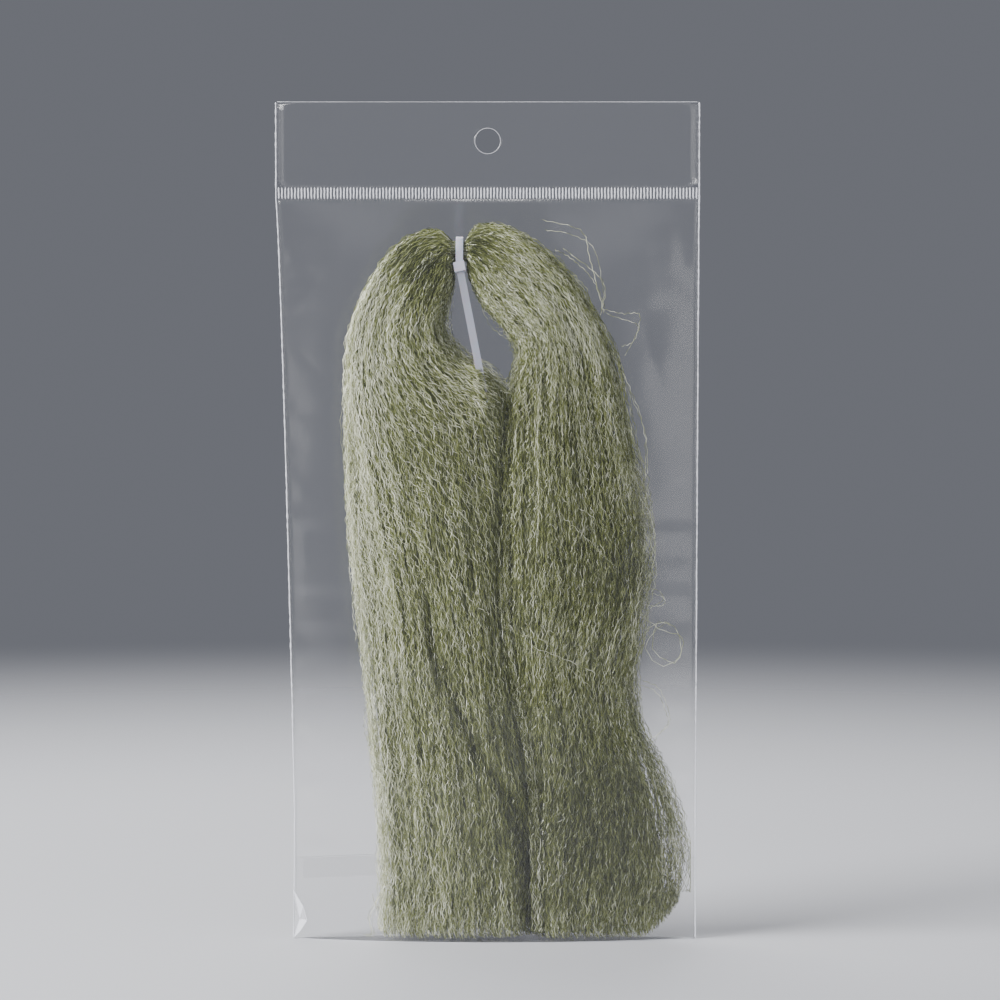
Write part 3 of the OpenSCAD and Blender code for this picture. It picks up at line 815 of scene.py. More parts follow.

# %% [markdown]
# ## Fibre materials
# The fibre is a crimped synthetic, dyed olive. Its smooth round filaments give short bright glints
# wherever a bend of the crimp turns to the light, and a deep colour elsewhere. Every strand carries its
# own tone as an attribute, from deep olive to pale straw green. A little of that tone is the strands' own
# random tone, and most of it is painted light and shade: painted shade at the deep end, painted highlight
# at the pale end. The imported inside of a lock is a plain body painted in the shade colours, with the
# streaks of the strands on it.

# %% Fibre materials
# The ramp's deep end is painted shade and its pale end painted highlight; the olive in the middle is the
# dye.
FIBRE_PAINTED_SHADE, FIBRE_MID, FIBRE_PAINTED_HIGHLIGHT = "#33381A", "#8A9151", "#F1F2DB"


def fibre_ramp(tree, factor):
    """Deep olive for painted shade, the dye's olive, and pale straw green for painted highlight, by a
    factor from 0 to 1.
    """
    ramp = add_node(tree, "ShaderNodeValToRGB", inputs={0: factor})
    ramp.color_ramp.elements[0].color = colour(FIBRE_PAINTED_SHADE)
    ramp.color_ramp.elements[1].color = colour(FIBRE_PAINTED_HIGHLIGHT)
    middle = ramp.color_ramp.elements.new(0.5)
    middle.color = colour(FIBRE_MID)
    return ramp.outputs[0]


strand_material, tree, output = new_material("crimped_synthetic_strand")
tone = add_node(tree, "ShaderNodeAttribute", {"attribute_name": "tone"})
shader = add_node(tree, "ShaderNodeBsdfPrincipled",
                  inputs={"Base Color": fibre_ramp(tree, tone.outputs["Fac"]), "Roughness": 0.24,
                          "IOR": 1.55})
tree.links.new(shader.outputs[0], output.inputs["Surface"])

packed_material, tree, output = new_material("packed_synthetic_fibre")
# The UV map is in millimetres, along and round, so the streaks are 3 mm long and 0.3 mm wide.
flow = add_node(tree, "ShaderNodeUVMap", {"uv_map": "flow"})
spread = add_node(tree, "ShaderNodeMapping",
                  inputs={"Vector": flow.outputs[0], "Scale": (0.35, 3.2, 1.0)})
streak = add_node(tree, "ShaderNodeTexNoise",
                  inputs={"Vector": spread.outputs[0], "Scale": 1.0, "Detail": 3.0, "Roughness": 0.6})
# The streaks reach only from the ramp's painted shade to a little under the olive: the inside of a lock is
# painted in shade colours.
steep = add_node(tree, "ShaderNodeMapRange",
                 inputs={"Value": streak.outputs[0], "From Min": 0.35, "From Max": 0.8,
                         "To Min": 0.0, "To Max": 0.4})
streak_bump = add_node(tree, "ShaderNodeBump",
                       inputs={"Strength": 0.8, "Distance": 0.3 * MM, "Height": streak.outputs[0]})
shader = add_node(tree, "ShaderNodeBsdfPrincipled",
                  inputs={"Base Color": fibre_ramp(tree, steep.outputs[0]), "Roughness": 0.6, "IOR": 1.5,
                          "Normal": streak_bump.outputs[0]})
tree.links.new(shader.outputs[0], output.inputs["Surface"])
print("fibre materials:", [m.name for m in (strand_material, packed_material)])

# %% [markdown]
# ## The locks
# Each half of the folded hank is a lock: the space between an outer and an inner edge. A station is
# a pair of places across the lock, one on each edge, with the half depth there, and the share of
# that depth which is left at the inner edge. That share is 0 round the hollow below the tie, where
# the edge is free, and more below it, where the two locks lie against each other. Smooth curves
# run through the stations, measured by the length along the lock's middle. Every strand is then a
# path through this space: how far across it, and how near the surface.

# %% Lock stations
neck_low, neck_high = box_mm("hank_neck")
NECK_Z = (neck_low[2] + neck_high[2]) / 2
NECK_R = (neck_high[2] - neck_low[2]) / 2
HALF_LOCK = 17
# A station: outer x and z, inner x and z, half depth, and the inner edge's share of it.
LEFT_STATIONS = [
    (-8.2, NECK_Z + NECK_R, -8.2, NECK_Z - NECK_R, 3.2, 0), (-11.5, 167.3, -8.3, 158.6, 3.9, 0),
    (-17.6, 166.2, -7.9, 156.6, 4.7, 0), (-24.0, 160.8, -8.3, 153.4, 5.5, 0),
    (-29.4, 151.6, -9.9, 148.2, 6.2, 0), (-32.3, 142.8, -10.2, 143.6, 6.4, 0),
    (-33.1, 131.0, -6.6, 138.0, 6.4, 0), (-33.2, 121.0, -0.8, 133.6, 6.4, 0.1),
    (-32.9, 110.0, 4.2, 127.2, 6.4, 0.4), (-32.3, 98.0, 4.0, 112.0, 6.4, 0.5),
    (-31.3, 87.0, 3.8, 96.0, 6.4, 0.5), (-30.0, 74.0, 4.1, 80.0, 6.4, 0.5),
    (-28.8, 60.0, 5.8, 64.5, 6.4, 0.5), (-27.4, 46.0, 8.4, 50.0, 6.4, 0.5),
    (-26.1, 34.0, 10.5, 36.0, 6.3, 0.5), (-25.3, 23.0, 11.2, 23.0, 6.2, 0.5),
    (-25.0, 12.0, 11.5, 12.0, 6.0, 0.5), (-25.6, 0.6, 11.7, 0.6, 6.0, 0.5),
]
RIGHT_STATIONS = [
    (-5.0, NECK_Z + NECK_R, -5.0, NECK_Z - NECK_R, 3.2, 0), (-2.6, 168.4, -4.6, 157.8, 3.9, 0),
    (3.2, 168.3, -3.2, 153.6, 4.9, 0), (9.8, 164.6, -0.4, 149.0, 5.5, 0),
    (16.8, 158.4, 4.2, 144.4, 6.0, 0), (22.6, 151.0, 7.4, 140.2, 6.3, 0),
    (27.2, 142.0, 7.6, 135.4, 6.4, 0.1), (30.4, 131.4, 6.0, 129.5, 6.4, 0.3),
    (33.0, 119.0, 4.6, 121.0, 6.4, 0.5), (35.2, 107.0, 3.9, 109.0, 6.4, 0.5),
    (36.4, 95.0, 3.8, 96.0, 6.4, 0.5), (36.2, 84.0, 4.0, 84.0, 6.4, 0.5),
    (34.8, 73.0, 4.4, 73.5, 6.4, 0.5), (33.6, 61.0, 6.5, 61.0, 6.4, 0.5),
    (35.2, 50.0, 8.7, 50.0, 6.4, 0.5), (40.0, 39.5, 10.4, 38.0, 6.3, 0.5),
    (44.0, 27.0, 11.1, 26.0, 6.2, 0.5), (46.0, 14.0, 11.4, 14.0, 6.0, 0.5),
    (45.2, 0.6, 11.7, 0.6, 6.0, 0.5),
]
# The line of the crease in the left lock, and the line where the two locks meet, as (x, z).
CREASE = [
    (-15.2, 88), (-13.6, 71), (-10.1, 61.6), (-1.8, 42.7), (5.3, 33.3), (8.4, 22), (9.6, 8), (9.8, 0),
]
CREASE_X, CREASE_Z = np.array(CREASE[::-1]).T
MIDDLE = [
    (4.6, 126), (3.9, 110), (3.7, 96), (4.1, 77), (6.1, 62), (9.6, 44), (11.1, 26), (11.5, 12), (11.7, 0),
]
MIDDLE_X, MIDDLE_Z = np.array(MIDDLE[::-1]).T


def left_crease(x, z):
    """Depth of the crease between the two layers of the left lock: 1.7 mm at its line, less with the
    distance from it, and fading in below a height of 92 mm."""
    aside = 0.8 * (x - np.interp(z, CREASE_Z, CREASE_X))
    return 1.7 * np.exp(-((aside / 1.5) ** 2)) * np.clip((92 - z) / 20, 0, 1)


SLIP, SWING = 2.0, math.radians(2.5)


def free_half(x, z, swings):
    """Half depth that stays free while the hank slips up by SLIP and, where it swings, turns about
    the neck by SWING: the least half depth of the pouch over the places it comes to. A place at
    (dx, dz) from the neck turns to (dx cos + dz sin, dz cos - dx sin)."""
    room = np.minimum(pouch_half(x, z), pouch_half(x, z + SLIP))
    if swings:
        dx, dz = x - neck_low[0], z - NECK_Z
        turned_x = neck_low[0] + dx * math.cos(SWING) + dz * math.sin(SWING)
        turned_z = NECK_Z + dz * math.cos(SWING) - dx * math.sin(SWING)
        for up in (0, SLIP):
            room = np.minimum(room, pouch_half(turned_x, turned_z + up))
    return room


def inside_film(points, gap=0.55, swings=False):
    """Keeps points between the two films, gap clear of them, or 0.35 mm more in the half that swings.
    Keeps them 0.5 mm above the bag's bottom too, and more by x sin(swing) where a swing lowers them."""
    x, y, z = points[..., 0], points[..., 1], points[..., 2]
    x = np.clip(x, left_in(z) + 0.8, right_in(z) - 0.8)
    room = np.maximum(free_half(x, z, swings) - gap - 0.35 * swings, 0.12)
    lowest = 0.5 + swings * np.maximum(x - neck_low[0], 0) * math.sin(SWING)
    return places(x, np.clip(y, -room, room), np.maximum(z, lowest))


class Lock:
    """A lock's middle, half width, half depth and hem at any share q of its length."""

    def __init__(self, rows, crease=None, foot=0.0, swings=False):
        """Smooth curves through the stations, and the share of the length at each of their points."""
        self.values = smooth_rows(rows, np.linspace(0, len(rows) - 1, 500))
        middle = (self.values[:, 0:2] + self.values[:, 2:4]) / 2
        run = np.concatenate([[0], np.cumsum(np.linalg.norm(np.diff(middle, axis=0), axis=1))])
        self.length = run[-1]
        self.share = run / run[-1]
        self.crease = crease
        self.foot = foot
        self.swings = swings

    def lay(self, q, t, side, level):
        """Places in the lock. x and z are the middle plus t half widths. y is the side times level
        times the half depth times the profile, which is the root of 1 - t to the fourth, but no
        less than the hem on the inner half, and no more than the bag has room for. Hills along the
        flow raise and lower it by a tenth. foot shortens the outer strands, by the square of how
        far out they are."""
        q = q - self.foot * np.clip((t - 0.4) / 0.6, 0, 1) ** 2 * q**6
        q, t = np.broadcast_arrays(q, t)
        v = np.stack([np.interp(q, self.share, self.values[:, k]) for k in range(6)], axis=-1)
        x = (v[..., 0] + v[..., 2]) / 2 + t * (v[..., 0] - v[..., 2]) / 2
        z = (v[..., 1] + v[..., 3]) / 2 + t * (v[..., 1] - v[..., 3]) / 2
        bow = np.sqrt(np.clip(1 - t**4, 0, 1))
        bow = np.where(t < 0, np.maximum(bow, v[..., 5] * np.clip(-2 * t, 0, 1)), bow)
        hills = 1 + 0.05 * np.sin(7 * t + 8 * q) + 0.04 * np.sin(15 * t - 17 * q + 2)
        room = np.maximum(free_half(x, z, self.swings) - 0.9, 0.2)
        out = np.minimum(v[..., 4] * bow, 0.94 * room) * hills * level
        if self.crease is not None:
            out = out - self.crease(x, z) * np.clip(bow * 1.5, 0, 1)
        return places(x, side * np.maximum(out, 0), z)


locks = {"left": Lock(LEFT_STATIONS, left_crease, swings=True), "right": Lock(RIGHT_STATIONS, foot=0.055)}
print("lock lengths in mm:", {name: round(lock.length) for name, lock in locks.items()})

# %% [markdown]
# ## Packed inside of each lock
# Strands alone would let the light straight through, so each lock has a body just under its
# surface. It is the lock's own section, a little smaller, carried along it. On the outer side it
# stops well short, because the hank is thin and open there.

# %% Cores
CORE_ROWS, CORE_COLUMNS = 200, 96
CORE_ROUND = 18
tail_low, tail_high = box_mm("tie_tail")


def over_tail(points, lead, spread):
    """Moves what lies at the front to lead mm or more in front of the tail, below a height of 136 mm,
    by a share that falls off as a bell with the distance from the tail's middle line."""
    x, y, z = points[..., 0], points[..., 1], points[..., 2]
    share = np.clip((tail_high[2] - z) / (tail_high[2] - tail_low[2]), 0, 1)
    middle = tail_low[0] + 0.9 + share * (tail_high[0] - tail_low[0] - 1.8)
    front = tail_high[1] - 0.9 + share * (tail_low[1] - tail_high[1] + 0.9)
    near = np.exp(-(((x - middle) / 2.6) ** 2)) * np.clip((136.5 - z) / 2, 0, 1)
    near = near * np.clip((z - tail_low[2] + 9) / 8, 0, 1)
    target = np.minimum(y, front - lead - spread * rng.random(y.shape))
    lifted = np.where(y < 0, y + near * (target - y), y)
    return places(x, lifted, z)


def packed_body(name, points, uv, body, nodes):
    """A closed body of packed fibre from rings of points, its faces turned outwards."""
    rows, columns = points.shape[:2]
    faces = grid_quads(rows, columns, closed=True)[:, ::-1]
    piece = mesh_piece(name, points, faces, packed_material, end_fans(rows, columns)[:, ::-1])
    set_uv(piece, uv)
    work = bmesh.new()
    work.from_mesh(piece.data)
    bmesh.ops.recalc_face_normals(work, faces=work.faces)
    work.to_mesh(piece.data)
    work.free()
    return belongs(piece, body, "fibre", *nodes)


def core_piece(name, lock_name, body, nodes, outer):
    """A closed tube: t is the cosine of an angle, times outer on the outer half and 0.985 on the
    inner, and the level is 0.84, or five times the sine where that is less, to close the edges."""
    lock = locks[lock_name]
    q = np.linspace(0.004, 0.974, CORE_ROWS)[:, None]
    angle = np.linspace(0, 2 * math.pi, CORE_COLUMNS, endpoint=False)[None, :] + 0 * q
    ends = np.clip(np.minimum(q / 0.012, (0.98 - q) / 0.03), 0.45, 1)
    t = np.cos(angle) * np.where(np.cos(angle) > 0, outer, 0.985)
    level = np.minimum(0.84 * ends, 5 * np.abs(np.sin(angle)))
    points = lock.lay(q, t, np.sign(np.sin(angle)), level)
    if lock_name == "left":
        points = over_tail(points, 0.25, 0.0)
    uv = np.stack([q * lock.length + 0 * angle, CORE_ROUND * angle], axis=-1)
    core = packed_body(name, inside_film(points, 0.9, lock.swings), uv, body, nodes)
    print(core.name, "has", len(core.data.polygons), "faces")


core_piece("left_core", "left", "left_half", ["left_lock", "left_inner_lock"], 0.88)
core_piece("right_core", "right", "hank", ["right_lock", "right_fringe"], 0.74)

# %% [markdown]
# ## Strands
# Each strand is a thin tube with three sides, closed at both ends. Real ones are about 0.05 mm
# thick, which is finer than the picture can show, so these are drawn two to three times as thick.
# Stuffer-box crimp is a zigzag of a few millimetres, so the rings sit exactly at the bends of the
# zigzag, and every second one is pushed to the other side. That gives the crimp with the fewest
# faces. The faces are flat shaded, so each length between two bends glints by itself.

# %% Strand tools
STRAND_R = 0.062
CRIMP_STEP = 1.5
CRIMP = 0.30
FRONT_SHARE = 0.6
DEPTH_AXIS = np.array([0.0, 1.0, 0.0])
strand_pieces = []


def across_path(paths):
    """Two directions square to each path: the cross product of its own direction with the bag's
    depth axis, and the cross product of its own direction with that."""
    ahead = np.gradient(paths, axis=1)
    ahead /= np.maximum(np.linalg.norm(ahead, axis=-1, keepdims=True), 1e-9)
    first = np.cross(ahead, DEPTH_AXIS)
    first /= np.maximum(np.linalg.norm(first, axis=-1, keepdims=True), 1e-6)
    return first, np.cross(ahead, first)


def crimped(paths, size=CRIMP):
    """Adds the zigzag: each bend goes left and right in turn by 0.3 to 1.5 times size, mostly in the
    bag's plane, and every bend strays a little more in all directions."""
    count, rings = paths.shape[:2]
    first, second = across_path(paths)
    sign = np.where(np.arange(rings) % 2 == 0, 1.0, -1.0)[None, :]
    bend = (size * sign * (0.3 + 1.2 * rng.random((count, rings))))[..., None]
    tilt = rng.normal(0, 0.7, (count, 1, 1))
    stray = rng.normal(0, 0.3 * size, paths.shape) * (1, 0.6, 0.6)
    return paths + bend * (np.cos(tilt) * first + np.sin(tilt) * second) + stray


def tube_faces(count, rings):
    """Faces of count three-sided tubes with the same number of rings, closed by one triangle at
    each end."""
    one = grid_quads(rings, 3, closed=True)
    last = (rings - 1) * 3
    ends = np.array([[0, 2, 1], [last, last + 1, last + 2]])
    offsets = (np.arange(count) * rings * 3)[:, None, None]
    return (one[None] + offsets).reshape(-1, 4), (ends[None] + offsets).reshape(-1, 3)


def strand_piece(name, paths, tone, body, nodes, radius=STRAND_R):
    """Tubes round paths, an array of strands by rings by 3, with a tone for each strand or ring, to which
    every bend adds its own random share, which paints glints along the strand."""
    count, rings = paths.shape[:2]
    first, second = across_path(paths)
    corner = np.arange(3).reshape(1, 1, 3, 1) * 2 * math.pi / 3
    angle = 2 * math.pi * rng.random((count, 1, 1, 1)) + corner
    thick = radius * (0.75 + 0.5 * rng.random((count, 1, 1, 1)))
    points = paths[:, :, None, :] + thick * (
        np.cos(angle) * first[:, :, None, :] + np.sin(angle) * second[:, :, None, :])
    quads, ends = tube_faces(count, rings)
    piece = mesh_piece(name, points, quads[:, ::-1], strand_material, ends[:, ::-1], smooth=False)
    layer = piece.data.attributes.new("tone", "FLOAT", "POINT")
    # Each bend's random tone is painted glints: pale and dark dashes a bend long.
    tone = np.clip(tone + rng.normal(0, 0.28, (count, rings)), 0, 1)
    layer.data.foreach_set("value", np.repeat(tone.reshape(-1), 3).astype(np.float32))
    strand_pieces.append(belongs(piece, body, "fibre", *nodes))


def random_sides(count):
    """The front, -1, for 0.6 of the strands, and the back, 1, for the others."""
    return np.where(rng.random((count, 1)) < FRONT_SHARE, -1.0, 1.0)


def slow_wave(count, rings, waves):
    """A smooth random wave for each strand: the mean of three sines with up to waves turns."""
    run = np.linspace(0, 1, rings)[None, None, :]
    turns = waves * (0.4 + 0.6 * rng.random((3, count, 1)))
    phase = 2 * math.pi * rng.random((3, count, 1))
    return np.sin(2 * math.pi * turns * run + phase).mean(axis=0)


print("strands:", 2 * STRAND_R, "mm thick, with a bend every", CRIMP_STEP, "mm")

# %% [markdown]
# ## Painted light and shade within the hank
# Dyed fibre looks darkest where the strands point at the eye, as they do beside the tie, and palest where
# they lie flat to the light, as along the left edge. Round patches in the tone paint this onto strands
# whose glints are too small to do it by themselves: painted shade where a patch darkens, painted light
# where it lightens. Painted shade also darkens the creases.

# %% Shade patches
# Each patch: x, z, size and strength. A negative strength paints shade and a positive one paints light.
PAINTED_SHADE_AND_LIGHT = [
    (-15, 159, 8, -0.48), (-2, 163, 4.5, -0.40), (10, 152, 10, 0.16), (24, 142, 8, 0.22),
    (9, 24, 12, -0.12), (28, 30, 27, -0.36), (38, 88, 12, -0.36), (5, 48, 8, -0.12),
    (21, 92, 22, -0.10), (-6, 128, 10, 0.10),
]


def shade(points):
    """Painted light and shade in the tone: the sum of round patches, each its strength times
    e^(-(distance/size) squared), with 0.3 more towards the left edge as painted light, and less in a bell
    across each crease as painted shade."""
    x, z = points[..., 0], points[..., 2]
    total = 0.30 * np.clip((-18 - x) / 11, 0, 1)
    middle = (x - np.interp(z, MIDDLE_Z, MIDDLE_X)) / 2.0
    left = (x - np.interp(z, CREASE_Z, CREASE_X)) / 2.4
    total = total - 0.30 * np.exp(-(middle**2)) * np.clip((134 - z) / 10, 0, 1)
    total = total - 0.17 * np.exp(-(left**2)) * np.clip((88 - z) / 18, 0, 1)
    for px, pz, size, strength in PAINTED_SHADE_AND_LIGHT:
        total = total + strength * np.exp(-(((x - px) ** 2 + (z - pz) ** 2) / size**2))
    return total


print("patches of shade:", len(PAINTED_SHADE_AND_LIGHT))

# %% [markdown]
# ## Laying the strands
# Long strands run from the tie to the cut ends. They wander slowly across their lock and in and out
# of its surface, so that they cross and cover each other. Short lengths that have come up out of
# the mass lie over them at more of a slant. Near the tip of the tie's tail the left lock's
# strands pass over the tail, which is pushed into the hank.

# %% Long and short strands
def long_strands(lock_name, count, drift, start):
    """Strands the whole length of a lock: t wanders by a tenth of the half width, and goes in by drift
    from the share start of the way on, where strands that come to the inner edge sink into the crease. The
    level is 0.84 to 1.08, and deeper strands are painted darker, as painted shade; shade() adds its
    painted light and shade. One in ten lies in the thin outer part."""
    lock = locks[lock_name]
    rings = int(lock.length / CRIMP_STEP)
    run = np.linspace(0, 1, rings)[None, :]
    thin = 0.93 if lock_name == "left" else 0.84
    t0 = np.where(rng.random((count, 1)) < 0.9, rng.uniform(-1.0, thin + drift, (count, 1)),
                  rng.uniform(thin, 0.99, (count, 1)))
    q = 0.012 * rng.random((count, 1)) + run * (0.990 - 0.014 * rng.random((count, 1)) ** 1.5)
    t = np.minimum(t0 - drift * np.clip((q - start) / 0.40, 0, 1), 0.93 + 0.06 * rng.random((count, 1)))
    sunk = np.clip((t + 1.12) / 0.12, 0.3, 1)
    t = np.maximum(t, -1.0) + 0.05 * slow_wave(count, rings, 8) + 0.05 * slow_wave(count, rings, 2)
    t = t + rng.normal(0, 0.06, (count, 1)) * (run - 0.5)
    side = random_sides(count)
    height = rng.random((count, 1))
    level = (0.84 + 0.22 * height + 0.03 * slow_wave(count, rings, 6)) * sunk
    points = lock.lay(q, t, side, level)
    if lock_name == "left":
        points = over_tail(points, 0.4, 0.6)
    tone = 0.20 + 0.40 * height + 0.10 * slow_wave(count, rings, 9) + shade(points)
    return inside_film(crimped(points), 0.55, lock.swings), tone


def short_strands(lock_name, count, drift, start):
    """Lengths of 4 to 11 mm on top of a lock, slanted across it by about one in six either way, and
    inwards by drift where the long strands go in."""
    lock = locks[lock_name]
    rings = 9
    run = np.linspace(-0.5, 0.5, rings)[None, :]
    size = rng.uniform(4, 11, (count, 1))
    q0 = rng.uniform(0.02, 0.965, (count, 1))
    t0 = rng.uniform(-1.02, 0.96, (count, 1))
    inwards = 1.2 * drift * np.exp(-(((q0 - start - 0.2) / 0.16) ** 2)) * np.clip(1.1 - t0, 0, 1)
    slant = rng.normal(0, 0.17, (count, 1)) - inwards
    q = q0 + run * size / lock.length
    t = t0 + run * size * slant / HALF_LOCK
    side = random_sides(count)
    level = 1.0 + 0.10 * rng.random((count, 1)) - 0.10 * (2 * run) ** 2
    points = lock.lay(np.clip(q, 0.005, 0.99), t, side, level)
    if lock_name == "left":
        points = over_tail(points, 0.4, 0.6)
    # shade() adds its painted light and shade to the tone.
    tone = 0.58 + rng.normal(0, 0.08, (count, 1)) + shade(points)
    return inside_film(crimped(points, 0.26), 0.55, lock.swings), tone


def cut_ends(lock_name, count):
    """The last 4 to 9 mm of strands, which end one by one in the last 2.5 mm above the cut, at any level
    from a third of the depth to the surface. Deeper ends are painted darker, as painted shade, and shade()
    adds its painted light and shade."""
    lock = locks[lock_name]
    rings = 7
    run = np.linspace(-1, 0, rings)[None, :]
    size = rng.uniform(4, 9, (count, 1))
    q = 1.0 - 2.5 / lock.length * rng.random((count, 1)) ** 1.4 + run * size / lock.length
    first_t = rng.uniform(-1.0, 0.95, (count, 1))
    slant = rng.normal(0, 0.16, (count, 1))
    t = first_t + run * size * slant / HALF_LOCK
    side = random_sides(count)
    height = rng.random((count, 1))
    points = lock.lay(q, t, side, 0.35 + 0.7 * height)
    tone = 0.34 + 0.28 * height + shade(points)
    return inside_film(crimped(points, 0.26), 0.55, lock.swings), tone


for lock_name, body, nodes, drift, start in (
    ("left", "left_half", ["left_lock", "left_inner_lock"], 0.5, 0.16),
    ("right", "hank", ["right_lock", "right_fringe"], 0.4, 0.55),
):
    for number in range(1, 4):
        paths, tone = long_strands(lock_name, 215, drift, start)
        strand_piece(f"{lock_name}_strands_{number}", paths, tone, body, nodes)
    for number in range(1, 3):
        paths, tone = short_strands(lock_name, 1800, drift, start)
        strand_piece(f"{lock_name}_short_strands_{number}", paths, tone, body, nodes)
    paths, tone = cut_ends(lock_name, 1100)
    strand_piece(f"{lock_name}_cut_ends", paths, tone, body, nodes)
print("long strands have", int(locks["left"].length / CRIMP_STEP), "bends each")

# %% [markdown]
# ## Neck
# Inside the tie the same strands run straight across from one lock to the other. A smooth body fills
# the loop of the tie, and short strands lie over it.

# %% Neck
NECK_X = (neck_low[0] + neck_high[0]) / 2


def neck_core():
    """A round body along X: its radius is the neck's at the tie and 0.8 of it at both ends."""
    run = np.linspace(-1, 1, 40)[:, None]
    angle = np.linspace(0, 2 * math.pi, 48, endpoint=False)[None, :]
    x = NECK_X + 3.4 * run + 0 * angle
    radius = NECK_R * (0.97 - 0.2 * run**2) * (1 + 0.02 * np.sin(15 * angle))
    points = places(x, radius * np.sin(angle), NECK_Z + radius * np.cos(angle))
    uv = np.stack([x, NECK_R * angle + 0 * x], axis=-1)
    packed_body("neck_core", points, uv, "hank", ["hank_neck"])


def neck_strands(count=500):
    """Short strands across the neck: on a circle of the neck's radius, opening as the square of the
    distance from the tie."""
    rings = 9
    run = np.linspace(-1, 1, rings)[None, :]
    angle = 2 * math.pi * rng.random((count, 1)) + 0.15 * slow_wave(count, rings, 1.0)
    radius = (NECK_R - 0.15) * (0.95 + 0.05 * rng.random((count, 1))) * (1 + 0.30 * run**2)
    x = NECK_X + 5.0 * run + 0.3 * rng.random((count, 1))
    points = places(x, radius * np.sin(angle), NECK_Z + radius * np.cos(angle))
    tone = 0.34 + 0.3 * rng.random((count, 1))
    away = np.clip(np.abs(run[..., None]) - 0.3, 0, 1)
    points = points + away * (crimped(points, 0.25) - points)
    strand_piece("neck_strands", points, tone, "hank", ["hank_neck"])


neck_core()
neck_strands()
print("neck radius:", round(NECK_R, 2), "mm")

# %% [markdown]
# ## Loose strands
# A hank is never tidy. Short strands stand off its outline, round the hollow under the tie, and
# over the crease where the locks meet. They leave their lock and come back to it, as half a sine
# wave.

# %% Strands at the outline
def edge_strays(lock_name, count, q_range, inner, reach, pale, lift):
    """Strands that stand off an edge: t starts between 0.91 and 0.99, or less than nothing by as
    much at the inner edge, and goes out and back by up to reach millimetres. They lie near the
    middle of the depth, or lift millimetres out from it on either side."""
    lock = locks[lock_name]
    rings = 14
    run = np.linspace(0, 1, rings)[None, :]
    size = rng.uniform(8, 26, (count, 1))
    q = rng.uniform(*q_range, (count, 1)) + run * size / lock.length
    stand = reach * rng.random((count, 1)) ** 1.5 / HALF_LOCK
    start = 0.91 + 0.08 * rng.random((count, 1))
    t = start + stand * np.sin(math.pi * run * rng.uniform(0.6, 1.0, (count, 1)))
    points = lock.lay(np.clip(q, 0.005, 0.99), -t if inner else t, 1.0, 0.0)
    side = np.where(rng.random((count, 1)) < 0.65, -1.0, 1.0)
    spread = 0.5 if lift else 1.6
    points[..., 1] = side * lift + rng.normal(0, spread, (count, 1)) + 0.5 * slow_wave(count, rings, 1)
    tone = pale + rng.normal(0, 0.15, (count, 1))
    return inside_film(crimped(points, 0.3), 0.55, lock.swings), tone


# pale is each set's tone, and it paints light and shade: paler on the left outline, as painted light from
# the lamp on the left, and darker on the right outline and over the creases, as painted shade.
for name, lock_name, count, q_range, inner, reach, pale, lift, body, node_name in (
    ("left_outline", "left", 650, (0.0, 0.92), False, 1.6, 0.80, 0.0, "left_half", "left_lock"),
    ("left_hollow_wisps", "left", 150, (0.05, 0.28), True, 4.0, 0.50, 0.0, "left_half", "left_inner_lock"),
    ("left_crease_wisps", "left", 150, (0.40, 0.93), True, 1.5, 0.42, 3.3, "left_half", "left_inner_lock"),
    ("right_outline", "right", 800, (0.0, 0.90), False, 4.2, 0.40, 0.0, "hank", "right_fringe"),
    ("right_hollow_wisps", "right", 170, (0.05, 0.28), True, 5.0, 0.50, 0.0, "hank", "right_lock"),
    ("right_crease_wisps", "right", 190, (0.30, 0.93), True, 1.5, 0.42, 3.4, "hank", "right_lock"),
):
    paths, tone = edge_strays(lock_name, count, q_range, inner, reach, pale, lift)
    strand_piece(name, paths, tone, body, [node_name], 0.05)
print("edge strands in", len(strand_pieces), "pieces of strands so far")

# %% [markdown]
# ## Curls and crossing strands
# A few longer strands have come loose. Some curl away at the right and at the foot, and some cross the
# hank at a slant. Each is a smooth curve through a few given places, drawn a few times with small changes.
# The foot's curls ride on the half that swings.

# %% Curls and crossing strands
STRAY_ROUTES = [
    [(38, -1, 74), (42, -1, 74), (46, -1, 71), (45, -1, 67), (41, -1, 66), (38.5, -1, 69), (40, -1, 73),
     (43, -1, 74)],
    [(36, 0, 82), (40, 0, 83), (42, 0, 80), (40, 0, 78), (36.5, 0, 79)],
    [(36, -1, 62), (40, -1, 59), (43, -1, 55), (43, -1, 51), (40, -1, 48), (37, -1, 47)],
    [(14, -2, 168), (20, -2, 166), (24, -2, 161), (26, -2, 154), (27, -2, 148)],
    [(17, -1, 163), (21, -1, 161), (25, -1, 156), (27, -1, 149)],
    [(27, -1, 149), (31, -1, 148), (35, -1, 146), (35, -1, 142), (32, -1, 139)],
    [(30, 1, 138), (34, 1, 130), (37, 1, 120), (37, 1, 110)],
    [(37, 0, 104), (40, 0, 98), (40, 0, 90), (37, 0, 84)],
]
FOOT_ROUTES = [[(-25, -3.0, 12), (-28, -2.4, 6), (-27.5, -2.2, 1.8), (-29, -2, 0.9)]]

CROSSING_ROUTES = [
    [(14, -7.2, 108), (19, -7.2, 104), (24, -6.9, 99), (29, -6.4, 94)],
    [(18, -7.2, 100), (22, -7.0, 97), (27, -6.6, 92), (30, -6.2, 88)],
    [(4, -7.4, 76), (11, -7.4, 71), (18, -7.2, 67), (25, -6.6, 63)],
    [(8, -7.4, 73), (14, -7.4, 70), (20, -7.2, 65), (24, -6.8, 61)],
    [(-10, -7.4, 90), (-6, -7.4, 85), (-2, -7.4, 80), (1, -7.4, 76)],
]


